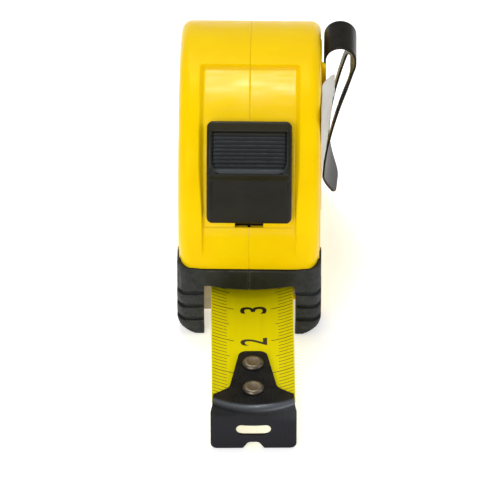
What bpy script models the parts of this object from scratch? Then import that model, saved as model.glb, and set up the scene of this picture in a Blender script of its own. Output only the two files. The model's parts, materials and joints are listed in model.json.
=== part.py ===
"""Three metre pocket tape measure, its blade drawn out a little and held by the thumb lock.

Metres, +Z up.  The origin is the middle of the flat base.  The mouth faces -Y, and the
belt clip is on the +X side.  Side outlines are (y, z), front outlines are (x, z).
"""
import math

import bmesh
import bpy
from mathutils import Matrix, Vector

# Case
CASE_RADIUS = 0.0250          # round top, about the lock axis
CASE_HALF_WIDTH = 0.0133
CASE_WALL = 0.0020
CASE_BACK_CORNER = 0.0060
RIM_ROUND = 0.0020
SEAM_GAP = 0.0003
FIT_GAP = 0.0003
SEAM_TAB = (0.0020, 0.0030, 0.0015)   # locating tab across the seam: x, half y, z
LOCK_AXIS_Z = 0.0250

# Rubber bumper round the mouth
BUMPER_TOP = 0.0150
BUMPER_FRONT = -0.0255
BUMPER_THICK = 0.0022
BUMPER_HALF_WIDTH = 0.0137
BUMPER_REACH = 0.0072         # how far it wraps back along each side
BUMPER_CORNER = 0.0020
BUMPER_FOOT = 0.0042          # rounding of the lower outer corner
GROOVE_HEIGHTS = (0.0038, 0.0068, 0.0098)
GROOVE_HEIGHT = 0.0008
GROOVE_DEPTH = 0.0006
GROOVE_START = 0.0084         # half width at which the grooves begin, inside the mouth

# Mouth
MOUTH_HALF_WIDTH = 0.0089
BUMPER_MOUTH_HALF = 0.0088
MOUTH_TOP = 0.01135
MOUTH_BACK = -0.0140
STOP_FRONT = -0.0179
STOP_TOP = 0.0078
STOP_HALF_WIDTH = 0.0086
CORE_BACK = -0.0210           # inner face of the wall behind the bumper
CORE_TOP = 0.0170

# Thumb lock and its channel
CHANNEL_HALF_WIDTH = 0.0087
CHANNEL_FLOOR = 0.0240
CHANNEL_TOP_DEG = 75.5
CHANNEL_BOTTOM_Z = 0.0205
LOCK_HALF_WIDTH = 0.00815
LOCK_INNER = 0.0245
LOCK_OUTER = 0.0265
LOCK_START_DEG = 2.4
LOCK_END_DEG = 47.4
LOCK_BORDER = 0.0009          # plain margin beside the ribs and the hollow
HOLLOW_DEG = (1.0, 23.8)
HOLLOW_DEPTH = 0.0006
RIB_GAPS = 8
RIB_START_DEG = 28.2
RIB_PITCH_DEG = 1.8
RIB_GAP_DEG = 0.9
RIB_DEPTH = 0.0003
OUTSIDE = 0.0290              # radius beyond the lock, for its cutters
STEM_HALF_WIDTH = 0.0023
STEM_DEG = (5.0, 11.0)
SLOT_HALF_WIDTH = 0.0027
SLOT_DEG = (-1.8, 28.0)
TONGUE_RADII = (0.0202, 0.0214)
TONGUE_DEG = (-42.3, 12.0)
TONGUE_HALF_WIDTH = 0.0074
FORK_HALF_WIDTH = 0.0051
FORK_END_DEG = -15.0

# Blade
BLADE_HALF_CHORD = 0.0078
BLADE_CURVE = 0.0180
BLADE_THICK = 0.00025
BLADE_Z = 0.00815             # underside of the blade on its centre line
BLADE_X = 0.00045             # the blade lies a little off the middle of the mouth
BLADE_YAW = 0.0225            # and runs out a little towards +X, in radians
BLADE_PIVOT_Y = -0.0192
BLADE_FRONT = -0.0597
BLADE_BACK = -0.0182
FEED_HALF_WIDTH = 0.0077

# End hook and its rivets
HOOK_FRONT = -0.0609
HOOK_SHEET = 0.0009
HOOK_TONGUE_SHEET = 0.00065
HOOK_LIFT = 0.00015           # tongue above the blade
HOOK_HALF_WIDTH = 0.0080
HOOK_BOTTOM = 0.0001
HOOK_TONGUE_LENGTH = 0.0181
HOOK_SLOT_HALF = 0.00335
HOOK_FLOAT = 0.0009
RIVET_BACK = (0.0061, 0.0138)  # behind the hook's front face
RIVET_HEAD = 0.00205
RIVET_SHANK = 0.0009

# Reel
REEL_Z = 0.0290
COIL_OUTER = 0.0168
DRUM_OUTER = 0.0124
DRUM_WALL = 0.0009
FLANGE_OUTER = 0.0172
FLANGE_THICK = 0.0008
COIL_HALF_WIDTH = 0.0080
ARBOR_RADIUS = 0.0022
HUB_HOLE = 0.0026
SPRING_SHEET = 0.0003
SPRING_TURNS = 5

# Belt clip
CLIP_SHEET = 0.0006
CLIP_PLATE_X = 0.01405
CLIP_PLATE_FOOT = 0.0300
CLIP_LEG_X = 0.0198
CLIP_ARCH_Z = 0.0460
CLIP_ARCH_Y = (0.0, 0.0092)
CLIP_FRONT = -0.0012
CLIP_DEPTH = 0.0152
CLIP_SPLIT_Z = 0.0446
CLIP_PINCH = (0.0144, 0.0198)  # x and z where the leg comes nearest the case
CLIP_TWIST = 0.0005           # how far the front edge leans in at the pinch
CLIP_FLARE = 0.0022
CLIP_FOOT = 0.0141
CLIP_NECK_Z = 0.0440          # above this the leg is as wide as the arch
CLIP_WIDE_Z = (0.0200, 0.0400)  # full depth between these heights
CLIP_STRIP = (0.0021, 0.0026)  # widths of the front and rear strips beside the window
CLIP_WINDOW_Z = (0.0240, 0.0260, 0.0404, 0.0424)
CLIP_SCREW = (0.0075, 0.0345)

LABEL_Y = (-0.0165, -0.0016)
LABEL_Z = (0.0225, 0.0445)
LABEL_LIFT = 0.0025           # how far its top back corner stands off
LABEL_LIFT_DEPTH = 0.0046
LABEL_THICK = 0.0002

# Case screws: (y, z) of each
SCREW_PLACES = ((-0.0090, 0.0050), (0.0170, 0.0050), (0.0159, 0.0409), (-0.0159, 0.0409))
SCREW_HEAD = 0.0018
SCREW_SHANK = 0.00095
POST_RADIUS = 0.0023

ARC_STEPS = 32
ROUND_STEPS = 28

FRAMES = {
    "side": Matrix(((0, 0, 1, 0), (1, 0, 0, 0), (0, 1, 0, 0), (0, 0, 0, 1))),
    "front": Matrix(((1, 0, 0, 0), (0, 0, -1, 0), (0, 1, 0, 0), (0, 0, 0, 1))),
    "plan": Matrix.Identity(4),
}


# ---------------------------------------------------------------- scene and materials
def clear_scene():
    for obj in list(bpy.data.objects):
        bpy.data.objects.remove(obj, do_unlink=True)


def new_collection(name):
    collection = bpy.data.collections.new(name)
    bpy.context.scene.collection.children.link(collection)
    return collection


def new_material(name, colour, roughness, metallic=0.0):
    material = bpy.data.materials.new(name)
    material.use_nodes = True
    shader = material.node_tree.nodes["Principled BSDF"]
    shader.inputs["Base Color"].default_value = (*colour, 1.0)
    shader.inputs["Roughness"].default_value = roughness
    shader.inputs["Metallic"].default_value = metallic
    return material


clear_scene()
PARTS = new_collection("tape_measure")
CUTTERS = new_collection("tape_measure_cutters")


def move_to(obj, collection):
    for owner in list(obj.users_collection):
        owner.objects.unlink(obj)
    collection.objects.link(obj)


def as_part(obj, colour, roughness, metallic=0.0):
    """Give a finished sub-part its material and smooth shading."""
    move_to(obj, PARTS)
    obj.data.materials.clear()
    obj.data.materials.append(new_material(obj.name, colour, roughness, metallic))
    obj.data.shade_smooth()
    obj.data.set_sharp_from_angle(angle=math.radians(35))
    return obj


def as_cutter(obj):
    move_to(obj, CUTTERS)
    obj.hide_render = True
    obj.display_type = "WIRE"
    return obj


# ---------------------------------------------------------------- outlines
def arc(u, v, radius, start_deg, end_deg, steps):
    """Points on a circle from one angle to another, both ends included."""
    points = []
    for step in range(steps + 1):
        angle = math.radians(start_deg + (end_deg - start_deg) * step / steps)
        points.append((u + radius * math.cos(angle), v + radius * math.sin(angle)))
    return points


def front_arc(radius, start_deg, end_deg, steps):
    """Arc about the lock axis, its angle measured up from the front horizontal."""
    return arc(0.0, LOCK_AXIS_Z, radius, 180.0 - start_deg, 180.0 - end_deg, steps)


def sector(inner, outer, start_deg, end_deg, steps=16):
    """Closed side outline of a curved slab about the lock axis."""
    far = front_arc(outer, start_deg, end_deg, steps)
    near = front_arc(inner, end_deg, start_deg, steps)
    return far + near


def fillet(corners, steps=5):
    """Closed outline through (u, v, radius) corners, each rounded by its radius."""
    outline = []
    for index, (u, v, radius) in enumerate(corners):
        here = Vector((u, v))
        if radius == 0.0:
            outline.append((u, v))
            continue
        back = (Vector(corners[index - 1][:2]) - here).normalized()
        ahead = (Vector(corners[(index + 1) % len(corners)][:2]) - here).normalized()
        half = back.angle(ahead) / 2.0
        centre = here + (back + ahead).normalized() * (radius / math.sin(half))
        start = here + back * (radius / math.tan(half)) - centre
        end = here + ahead * (radius / math.tan(half)) - centre
        turn = -start.angle_signed(end)
        for step in range(steps + 1):
            angle = math.atan2(start.y, start.x) + turn * step / steps
            point = centre + Vector((math.cos(angle), math.sin(angle))) * radius
            outline.append((point.x, point.y))
    return outline


def thick_path(points, thickness):
    """Closed outline of a strip that follows an open path."""
    left = []
    right = []
    for index, point in enumerate(points):
        before = Vector(points[max(index - 1, 0)])
        after = Vector(points[min(index + 1, len(points) - 1)])
        along = (after - before).normalized()
        across = Vector((-along.y, along.x)) * (thickness / 2.0)
        left.append(tuple(Vector(point) + across))
        right.append(tuple(Vector(point) - across))
    return left + right[::-1]


# ---------------------------------------------------------------- solids
def mesh_from(obj):
    """Turn a curve into a welded mesh object with the same name and place."""
    name = obj.name
    graph = bpy.context.evaluated_depsgraph_get()
    mesh = bpy.data.meshes.new_from_object(obj.evaluated_get(graph))
    matrix = obj.matrix_world.copy()
    bpy.data.objects.remove(obj, do_unlink=True)
    edit = bmesh.new()
    edit.from_mesh(mesh)
    bmesh.ops.remove_doubles(edit, verts=edit.verts, dist=1e-7)
    bmesh.ops.recalc_face_normals(edit, faces=edit.faces)
    edit.transform(matrix)
    edit.to_mesh(mesh)
    edit.free()
    solid = bpy.data.objects.new(name, mesh)
    PARTS.objects.link(solid)
    return solid


def plate(name, outline, low, high, frame="side"):
    """A flat outline made solid between two planes of its frame's normal."""
    curve = bpy.data.curves.new(name, "CURVE")
    curve.dimensions = "2D"
    curve.fill_mode = "BOTH"
    curve.extrude = (high - low) / 2.0
    spline = curve.splines.new("POLY")
    spline.points.add(len(outline) - 1)
    for point, (u, v) in zip(spline.points, outline):
        point.co = (u, v, 0.0, 1.0)
    spline.use_cyclic_u = True
    obj = bpy.data.objects.new(name, curve)
    PARTS.objects.link(obj)
    middle = (high + low) / 2.0
    obj.matrix_world = FRAMES[frame] @ Matrix.Translation((0.0, 0.0, middle))
    bpy.context.view_layer.update()
    return mesh_from(obj)


def box(name, low, high):
    bpy.ops.mesh.primitive_cube_add(size=1.0)
    obj = bpy.context.object
    obj.name = name
    size = Vector(high) - Vector(low)
    middle = (Vector(high) + Vector(low)) / 2.0
    obj.data.transform(Matrix.Translation(middle) @ Matrix.Diagonal((*size, 1.0)))
    return obj


def rod(name, centre, radius, low, high, axis="X", steps=ROUND_STEPS):
    """A cylinder along X through (y, z), or along Z through (x, y)."""
    bpy.ops.mesh.primitive_cylinder_add(vertices=steps, radius=radius, depth=high - low)
    obj = bpy.context.object
    obj.name = name
    middle = (low + high) / 2.0
    if axis == "X":
        turn = Matrix.Rotation(math.pi / 2.0, 4, "Y")
        place = Matrix.Translation((middle, centre[0], centre[1]))
    else:
        turn = Matrix.Identity(4)
        place = Matrix.Translation((centre[0], centre[1], middle))
    obj.data.transform(place @ turn)
    return obj


def turned(name, profile, place, steps=ROUND_STEPS):
    """Screw a (radius, height) profile that runs down its outer side; place sets its axis."""
    mesh = bpy.data.meshes.new(name)
    count = len(profile)
    closed = profile[0][0] > 0.0
    edges = [(index, (index + 1) % count) for index in range(count if closed else count - 1)]
    mesh.from_pydata([(radius, 0.0, height) for radius, height in profile], edges, [])
    obj = bpy.data.objects.new(name, mesh)
    PARTS.objects.link(obj)
    screw = obj.modifiers.new("turn", "SCREW")
    screw.steps = steps
    screw.render_steps = steps
    screw.use_merge_vertices = True
    screw.merge_threshold = 1e-6
    obj.matrix_world = place
    return obj


def along_x(x, y, z):
    return Matrix.Translation((x, y, z)) @ Matrix.Rotation(math.pi / 2.0, 4, "Y")


def ring_profile(inner, outer, low, high):
    return [(outer, high), (outer, low), (inner, low), (inner, high)]


def combine(target, operand, operation="DIFFERENCE"):
    modifier = target.modifiers.new(operand.name, "BOOLEAN")
    modifier.operation = operation
    modifier.solver = "EXACT"
    modifier.object = as_cutter(operand)
    return target


def round_edges(obj, width, segments, keep):
    """Bevel the edges of a mesh whose two ends both pass the keep test."""
    edit = bmesh.new()
    edit.from_mesh(obj.data)
    chosen = [e for e in edit.edges if keep(e.verts[0].co) and keep(e.verts[1].co)]
    chosen = [e for e in chosen if len(e.link_faces) == 2 and e.calc_face_angle(0.0) > 0.6]
    bmesh.ops.bevel(
        edit, geom=chosen, offset=width, segments=segments, profile=0.5,
        affect="EDGES", clamp_overlap=True)
    edit.to_mesh(obj.data)
    edit.free()
    return obj


def hang_on(empty, *pieces):
    """Parent the pieces to a joint's empty, and whatever cuts or joins them too."""
    for piece in pieces:
        piece.parent = empty
        piece.matrix_parent_inverse = empty.matrix_world.inverted()
        hang_on(empty, *[cut.object for cut in piece.modifiers if cut.type == "BOOLEAN"])


def joint_empty(name, place):
    empty = bpy.data.objects.new(name, None)
    PARTS.objects.link(empty)
    empty.location = place
    bpy.context.view_layer.update()
    return empty


# ---------------------------------------------------------------- case
def case_outline():
    radius = CASE_RADIUS
    top = arc(0.0, LOCK_AXIS_Z, radius, 0.0, 180.0, ARC_STEPS)
    corner = arc(
        radius - CASE_BACK_CORNER, CASE_BACK_CORNER, CASE_BACK_CORNER, 270.0, 360.0, 6)
    return top + [(-radius, 0.0)] + corner


def cavity_outline():
    radius = CASE_RADIUS - CASE_WALL
    corner_radius = CASE_BACK_CORNER - CASE_WALL
    top = arc(0.0, LOCK_AXIS_Z, radius, 0.0, 180.0, ARC_STEPS)
    step = [(-radius, CORE_TOP), (CORE_BACK, CORE_TOP), (CORE_BACK, CASE_WALL)]
    corner = arc(radius - corner_radius, CASE_BACK_CORNER, corner_radius, 270.0, 360.0, 5)
    return top + step + corner


def case_half(name, side):
    """One moulded half: side is -1 for the left (-X) half and +1 for the right."""
    outer_x = side * CASE_HALF_WIDTH
    seam_x = side * SEAM_GAP / 2.0
    inner_x = side * (CASE_HALF_WIDTH - CASE_WALL)
    half = plate(name, case_outline(), min(outer_x, seam_x), max(outer_x, seam_x))
    round_edges(half, RIM_ROUND, 3, lambda co: abs(co.x - outer_x) < 1e-6 and co.z > 1e-6)

    past_seam = -side * 0.002
    cavity = plate(
        name + "_cavity", cavity_outline(), min(inner_x, past_seam), max(inner_x, past_seam))
    combine(half, cavity)
    for index, place in enumerate(SCREW_PLACES):
        end = inner_x + side * CASE_WALL / 2.0
        post = rod(
            f"{name}_post_{index}", place, POST_RADIUS, min(end, seam_x), max(end, seam_x))
        combine(half, post, "UNION")
    reach = side * 0.0013
    low, high = sorted((inner_x - reach, inner_x + side * 0.0010))
    combine(half, rod(name + "_hub", (0.0, REEL_Z), 0.0040, low, high), "UNION")

    combine(half, seam_tab(name, side), "UNION" if side > 0 else "DIFFERENCE")
    for seat in bumper_seats(name, side):
        combine(half, seat)
    mouth = box(
        name + "_mouth", (-MOUTH_HALF_WIDTH, -0.030, -0.001),
        (MOUTH_HALF_WIDTH, MOUTH_BACK, MOUTH_TOP))
    combine(half, mouth)
    channel_corners = front_arc(CHANNEL_FLOOR, 0.0, CHANNEL_TOP_DEG, 20)
    outside = front_arc(0.028, CHANNEL_TOP_DEG, 0.0, 12)
    blend = [(-0.028, CHANNEL_BOTTOM_Z), (-CASE_RADIUS, CHANNEL_BOTTOM_Z)]
    channel = plate(
        name + "_channel", channel_corners + outside + blend,
        -CHANNEL_HALF_WIDTH, CHANNEL_HALF_WIDTH)
    combine(half, channel)
    slot = plate(
        name + "_slot", sector(0.0220, 0.0255, *SLOT_DEG, steps=8),
        -SLOT_HALF_WIDTH, SLOT_HALF_WIDTH)
    combine(half, slot)
    arbor_hole = rod(
        name + "_arbor_hole", (0.0, REEL_Z), ARBOR_RADIUS + FIT_GAP,
        *sorted((0.0, inner_x + side * 0.0005)))
    combine(half, arbor_hole)
    peg_hole = rod(
        name + "_peg_hole", (-0.0160, 0.0040), 0.0015,
        *sorted((side * 0.0080, side * 0.0100)))
    combine(half, peg_hole)
    for cutter in screw_holes(name, side):
        combine(half, cutter)
    return as_part(half, (0.93, 0.62, 0.005), 0.35)


def seam_tab(name, side):
    """Tab of the right half that locates in a notch of the left half's floor."""
    reach, half_length, height = SEAM_TAB
    gap = FIT_GAP if side < 0 else 0.0
    low = (-reach - gap, -half_length - gap, -0.001 if side < 0 else 0.0)
    return box(name + "_tab", low, (0.0010, half_length + gap, height + gap))


def bumper_seats(name, side):
    """The room that the rubber takes from the moulded half, front and side."""
    top = BUMPER_TOP + FIT_GAP
    front_back = BUMPER_FRONT + BUMPER_THICK + FIT_GAP
    side_in = side * (BUMPER_HALF_WIDTH - BUMPER_THICK + 0.0004 - FIT_GAP)
    low, high = sorted((side_in, side * 0.020))
    front = box(name + "_front_seat", (-0.020, -0.030, -0.001), (0.020, front_back, top))
    reach = BUMPER_FRONT + BUMPER_REACH + FIT_GAP
    flank = box(name + "_flank_seat", (low, -0.030, -0.001), (high, reach, top))
    return front, flank


def screw_holes(name, side):
    """Screw clearance through the left half, blind pilots in the right one."""
    cutters = []
    for index, place in enumerate(SCREW_PLACES):
        if side < 0:
            low, high = -0.0200, 0.0010
        else:
            low, high = -0.0010, 0.0085
        cutters.append(rod(
            f"{name}_hole_{index}", place, SCREW_SHANK + FIT_GAP, low, high, steps=16))
        if side < 0:
            cutters.append(rod(
                f"{name}_sink_{index}", place, SCREW_HEAD + FIT_GAP, -0.0200, -0.0120,
                steps=20))
    if side > 0:
        cutters.append(rod(
            name + "_clip_hole", CLIP_SCREW, SCREW_SHANK + FIT_GAP, 0.0100, 0.0200, steps=16))
    return cutters


# ---------------------------------------------------------------- bumper
def bumper_half(name, side):
    """Rubber over one front corner: a front wall, a cheek and its side wrap."""
    back = BUMPER_FRONT + BUMPER_REACH
    outer = BUMPER_HALF_WIDTH
    wall = BUMPER_THICK - 0.0004
    inner_front = BUMPER_FRONT + BUMPER_THICK
    corners = [
        (side * SEAM_GAP / 2.0, BUMPER_FRONT, 0.0),
        (side * outer, BUMPER_FRONT, BUMPER_CORNER),
        (side * outer, back, 0.0006),
        (side * (outer - wall), back, 0.0),
        (side * (outer - wall), inner_front, 0.0),
        (side * SEAM_GAP / 2.0, inner_front, 0.0),
    ]
    rubber = plate(name, fillet(corners, 5), 0.0002, BUMPER_TOP, "plan")
    mouth = box(
        name + "_mouth", (-BUMPER_MOUTH_HALF, -OUTSIDE, -0.001),
        (BUMPER_MOUTH_HALF, MOUTH_BACK, MOUTH_TOP))
    combine(rubber, mouth)
    for index, height in enumerate(GROOVE_HEIGHTS):
        inset = GROOVE_DEPTH
        groove_corners = [
            (side * GROOVE_START, -OUTSIDE, 0.0),
            (side * OUTSIDE, -OUTSIDE, 0.0),
            (side * OUTSIDE, back + 0.001, 0.0),
            (side * (outer - inset), back + 0.001, 0.0),
            (side * (outer - inset), BUMPER_FRONT + inset, BUMPER_CORNER - inset),
            (side * GROOVE_START, BUMPER_FRONT + inset, 0.0),
        ]
        groove = plate(
            f"{name}_groove_{index}", fillet(groove_corners, 4),
            height - GROOVE_HEIGHT / 2.0, height + GROOVE_HEIGHT / 2.0, "plan")
        combine(rubber, groove)
    foot = fillet([
        (side * (outer + 0.0005), 0.0200, 0.0),
        (side * (outer + 0.0001), 0.0001, BUMPER_FOOT),
        (0.0, 0.0001, 0.0),
        (0.0, 0.0200, 0.0),
    ], 6)
    combine(rubber, plate(name + "_foot", foot, 0.0100, 0.0300, "front"), "INTERSECT")
    return as_part(rubber, (0.035, 0.036, 0.038), 0.8)


def hook_stop():
    """Moulded block under the blade; the hook comes to rest against its front face."""
    stop = box(
        "hook_stop", (-STOP_HALF_WIDTH, STOP_FRONT, 0.0003),
        (STOP_HALF_WIDTH, MOUTH_BACK - 0.0003, STOP_TOP))
    peg = rod("hook_stop_peg", (-0.0160, 0.0040), 0.0012, -0.0095, 0.0095, steps=16)
    combine(stop, peg, "UNION")
    groove = box("hook_stop_groove", (-0.0029, -0.030, 0.0070), (0.0035, 0.0, 0.0100))
    combine(stop, groove)
    return as_part(stop, (0.61, 0.54, 0.43), 0.5)


# ---------------------------------------------------------------- thumb lock
def thumb_lock():
    """Curved slider with a ribbed pad above and a smooth hollow below."""
    outline = sector(LOCK_INNER, LOCK_OUTER, LOCK_START_DEG, LOCK_END_DEG, 18)
    slider = plate("thumb_lock", outline, -LOCK_HALF_WIDTH, LOCK_HALF_WIDTH)
    outer = LOCK_OUTER - 1e-5

    def outside(co):
        return math.hypot(co.y, co.z - LOCK_AXIS_Z) > outer

    round_edges(slider, 0.0006, 2, outside)
    reach = LOCK_HALF_WIDTH - LOCK_BORDER
    cut = sector(LOCK_OUTER - HOLLOW_DEPTH, OUTSIDE, *HOLLOW_DEG, 8)
    combine(slider, plate("thumb_lock_hollow", cut, -reach, reach))
    for index in range(RIB_GAPS):
        start = RIB_START_DEG + index * RIB_PITCH_DEG
        cut = sector(LOCK_OUTER - RIB_DEPTH, OUTSIDE, start, start + RIB_GAP_DEG, 1)
        combine(slider, plate(f"thumb_lock_gap_{index}", cut, -reach, reach))
    return as_part(slider, (0.028, 0.030, 0.032), 0.55)


def lock_tongue():
    """Sprung fork under the slider; its two tips press the blade against the stop."""
    tongue = plate(
        "lock_tongue", sector(*TONGUE_RADII, *TONGUE_DEG, steps=14),
        -TONGUE_HALF_WIDTH, TONGUE_HALF_WIDTH)
    fork = plate(
        "lock_tongue_fork", sector(0.0190, 0.0230, TONGUE_DEG[0] - 3.0, FORK_END_DEG, 8),
        -FORK_HALF_WIDTH, FORK_HALF_WIDTH)
    combine(tongue, fork)
    stem = plate(
        "lock_tongue_stem", sector(TONGUE_RADII[0] + 0.0004, LOCK_INNER - 0.0002, *STEM_DEG, steps=3),
        -STEM_HALF_WIDTH, STEM_HALF_WIDTH)
    combine(tongue, stem, "UNION")
    return as_part(tongue, (0.10, 0.10, 0.11), 0.5)


def lock_spring():
    """Leaf spring on the case wall that holds the lock where it is left."""
    path = front_arc(0.0226, 6.0, 36.0, 10)
    leaf = plate("lock_spring", thick_path(path, 0.0003), 0.0034, 0.0074)
    return as_part(leaf, (0.45, 0.45, 0.46), 0.3, 1.0)


# ---------------------------------------------------------------- blade and hook
def bowed_outline(radius, half_chord, low, thickness, centre_x, steps=12):
    """Front outline of a strip bowed upwards; low is its underside on the centre line."""
    reach = math.degrees(math.asin(half_chord / radius))
    top = low + radius
    under = arc(centre_x, top, radius, 270.0 - reach, 270.0 + reach, steps)
    over = arc(centre_x, top, radius - thickness, 270.0 + reach, 270.0 - reach, steps)
    return under + over


def blade_tip():
    outline = bowed_outline(BLADE_CURVE, BLADE_HALF_CHORD, BLADE_Z, BLADE_THICK, BLADE_X)
    blade = plate("blade_tip", outline, -BLADE_BACK, -BLADE_FRONT, "front")
    for index, distance in enumerate(RIVET_BACK):
        place = (BLADE_X, HOOK_FRONT + distance)
        hole = rod(
            f"blade_tip_hole_{index}", place, RIVET_SHANK + 0.0002, 0.0060, 0.0120, "Z", 16)
        combine(blade, hole)
    return as_part(blade, (0.73, 0.62, 0.004), 0.4)


def blade_feed():
    """Stretch between coil and mouth, pressed flat as it leaves the coil."""
    path = [(0.0010, 0.01192), (-0.0030, 0.01178), (-0.0080, 0.01135), (-0.0132, 0.01100)]
    feed = plate("blade_feed", thick_path(path, BLADE_THICK), -FEED_HALF_WIDTH, FEED_HALF_WIDTH)
    return as_part(feed, (0.73, 0.62, 0.004), 0.4)


def hook_tongue_outline():
    """Plan outline: narrow at the back end, flared to shoulders at the bend."""
    front = HOOK_FRONT + HOOK_SHEET / 2.0
    half = [
        (0.0080, front, 0.0),
        (0.0080, front + 0.0024, 0.0008),
        (0.0046, front + 0.0051, 0.0008),
        (0.0030, HOOK_FRONT + HOOK_TONGUE_LENGTH - 0.0008, 0.0008),
        (0.0021, HOOK_FRONT + HOOK_TONGUE_LENGTH, 0.0),
    ]
    right = [(BLADE_X + x, y, radius) for x, y, radius in half]
    left = [(BLADE_X - x, y, radius) for x, y, radius in half[::-1]]
    return fillet(right + left, 4)


def hook_lip_outline():
    """Front outline of the turned-down lip; its top edge follows the bowed blade."""
    sheet_low = BLADE_Z + BLADE_THICK + HOOK_LIFT
    curve = BLADE_CURVE - BLADE_THICK - HOOK_LIFT
    reach = math.degrees(math.asin(0.0080 / curve))
    top_arc = arc(
        0.0, sheet_low + curve, curve - HOOK_TONGUE_SHEET, 270.0 + reach, 270.0 - reach, 14)
    side = HOOK_HALF_WIDTH
    shoulder = top_arc[0][1] - 0.0012
    corners = [
        (-side, shoulder, 0.0),
        (-side, HOOK_BOTTOM, 0.0011),
        (-0.0019, HOOK_BOTTOM, 0.0),
        (-0.0019, HOOK_BOTTOM + 0.0012, 0.0005),
        (0.0019, HOOK_BOTTOM + 0.0012, 0.0005),
        (0.0019, HOOK_BOTTOM, 0.0),
        (side, HOOK_BOTTOM, 0.0011),
        (side, shoulder, 0.0),
    ]
    outline = top_arc + fillet(corners, 5)
    return [(BLADE_X + x, z) for x, z in outline]


def end_hook():
    sheet_low = BLADE_Z + BLADE_THICK + HOOK_LIFT
    curve = BLADE_CURVE - BLADE_THICK - HOOK_LIFT
    hook = plate(
        "end_hook", bowed_outline(curve, 0.0080, sheet_low, HOOK_TONGUE_SHEET, BLADE_X, 14),
        -(HOOK_FRONT + HOOK_TONGUE_LENGTH + 0.001), -(HOOK_FRONT + HOOK_SHEET / 2.0), "front")
    outline = plate("end_hook_outline", hook_tongue_outline(), 0.0, 0.020, "plan")
    combine(hook, outline, "INTERSECT")
    lip = plate(
        "end_hook_lip", hook_lip_outline(), -(HOOK_FRONT + HOOK_SHEET), -HOOK_FRONT, "front")
    slot = plate("end_hook_slot", hook_slot_outline(), 0.0550, 0.0650, "front")
    combine(lip, slot)
    combine(hook, lip, "UNION")
    for index, distance in enumerate(RIVET_BACK):
        hole = plate(f"end_hook_hole_{index}", rivet_slot(distance), 0.0070, 0.0120, "plan")
        combine(hook, hole)
    return as_part(hook, (0.030, 0.028, 0.026), 0.35, 0.8)


def hook_slot_outline():
    """Round-ended slot through the lip, for a nail head."""
    height = HOOK_BOTTOM + 0.0043
    radius = 0.00115
    ends = HOOK_SLOT_HALF - radius
    right = arc(BLADE_X + ends, height, radius, -90.0, 90.0, 6)
    left = arc(BLADE_X - ends, height, radius, 90.0, 270.0, 6)
    return right + left


def rivet_slot(distance):
    """Slotted hole that lets the hook shift by its own thickness."""
    radius = RIVET_SHANK + 0.0002
    near = HOOK_FRONT + distance
    far = near + HOOK_FLOAT
    return arc(BLADE_X, far, radius, 0.0, 180.0, 8) + arc(BLADE_X, near, radius, 180.0, 360.0, 8)


def rivet(name, distance):
    """Domed head above the hook, flat tail under the blade."""
    top = BLADE_Z + BLADE_THICK + HOOK_LIFT + HOOK_TONGUE_SHEET + 0.00042
    tail = BLADE_Z - 0.00012
    profile = [
        (0.0, top + 0.00055),
        (0.0012, top + 0.00050),
        (0.0018, top + 0.00028),
        (RIVET_HEAD, top),
        (RIVET_SHANK, top),
        (RIVET_SHANK, tail),
        (0.0016, tail),
        (0.0016, tail - 0.0004),
        (0.0, tail - 0.0004),
    ]
    place = Matrix.Translation((BLADE_X, HOOK_FRONT + distance, 0.0))
    return as_part(turned(name, profile, place, 24), (0.36, 0.31, 0.24), 0.3, 1.0)


# ---------------------------------------------------------------- reel
def reel_drum():
    """Cup that carries the coil outside and the power spring inside."""
    web = -COIL_HALF_WIDTH - 0.0004
    profile = [
        (DRUM_OUTER, COIL_HALF_WIDTH),
        (DRUM_OUTER, web),
        (FLANGE_OUTER, web),
        (FLANGE_OUTER, web - FLANGE_THICK),
        (HUB_HOLE, web - FLANGE_THICK),
        (HUB_HOLE, web),
        (DRUM_OUTER - DRUM_WALL, web),
        (DRUM_OUTER - DRUM_WALL, COIL_HALF_WIDTH),
    ]
    drum = turned("reel_drum", profile, along_x(0.0, 0.0, REEL_Z), 40)
    return as_part(drum, (0.08, 0.08, 0.085), 0.5)


def reel_cover():
    low = COIL_HALF_WIDTH + 0.0004
    profile = ring_profile(HUB_HOLE, FLANGE_OUTER, low, low + FLANGE_THICK)
    cover = turned("reel_cover", profile, along_x(0.0, 0.0, REEL_Z), 40)
    return as_part(cover, (0.08, 0.08, 0.085), 0.5)


def blade_coil():
    """The rest of the blade, wound in tight turns on the drum."""
    profile = ring_profile(
        DRUM_OUTER + 0.0002, COIL_OUTER, -COIL_HALF_WIDTH + 0.0001, COIL_HALF_WIDTH - 0.0001)
    coil = turned("blade_coil", profile, along_x(0.0, 0.0, REEL_Z), 40)
    return as_part(coil, (0.73, 0.62, 0.004), 0.4)


def power_spring():
    """Flat spiral that pulls the blade home, from the arbor out to the drum."""
    inner = ARBOR_RADIUS + 0.0007
    outer = DRUM_OUTER - DRUM_WALL - 0.0005
    steps = SPRING_TURNS * 24
    path = []
    for step in range(steps + 1):
        share = step / steps
        angle = math.tau * SPRING_TURNS * share
        radius = inner + (outer - inner) * share
        path.append((radius * math.cos(angle), REEL_Z + radius * math.sin(angle)))
    spring = plate("power_spring", thick_path(path, SPRING_SHEET), -0.0070, 0.0070)
    return as_part(spring, (0.20, 0.22, 0.26), 0.3, 1.0)


def spring_arbor():
    """Fixed axle with the slot that holds the spring's inner end."""
    arbor = rod("spring_arbor", (0.0, REEL_Z), ARBOR_RADIUS, -0.0114, 0.0114, steps=24)
    slot = box(
        "spring_arbor_slot", (-0.0072, -0.0030, REEL_Z - 0.0003),
        (0.0072, 0.0010, REEL_Z + 0.0003))
    combine(arbor, slot)
    return as_part(arbor, (0.5, 0.5, 0.5), 0.35, 1.0)


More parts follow.
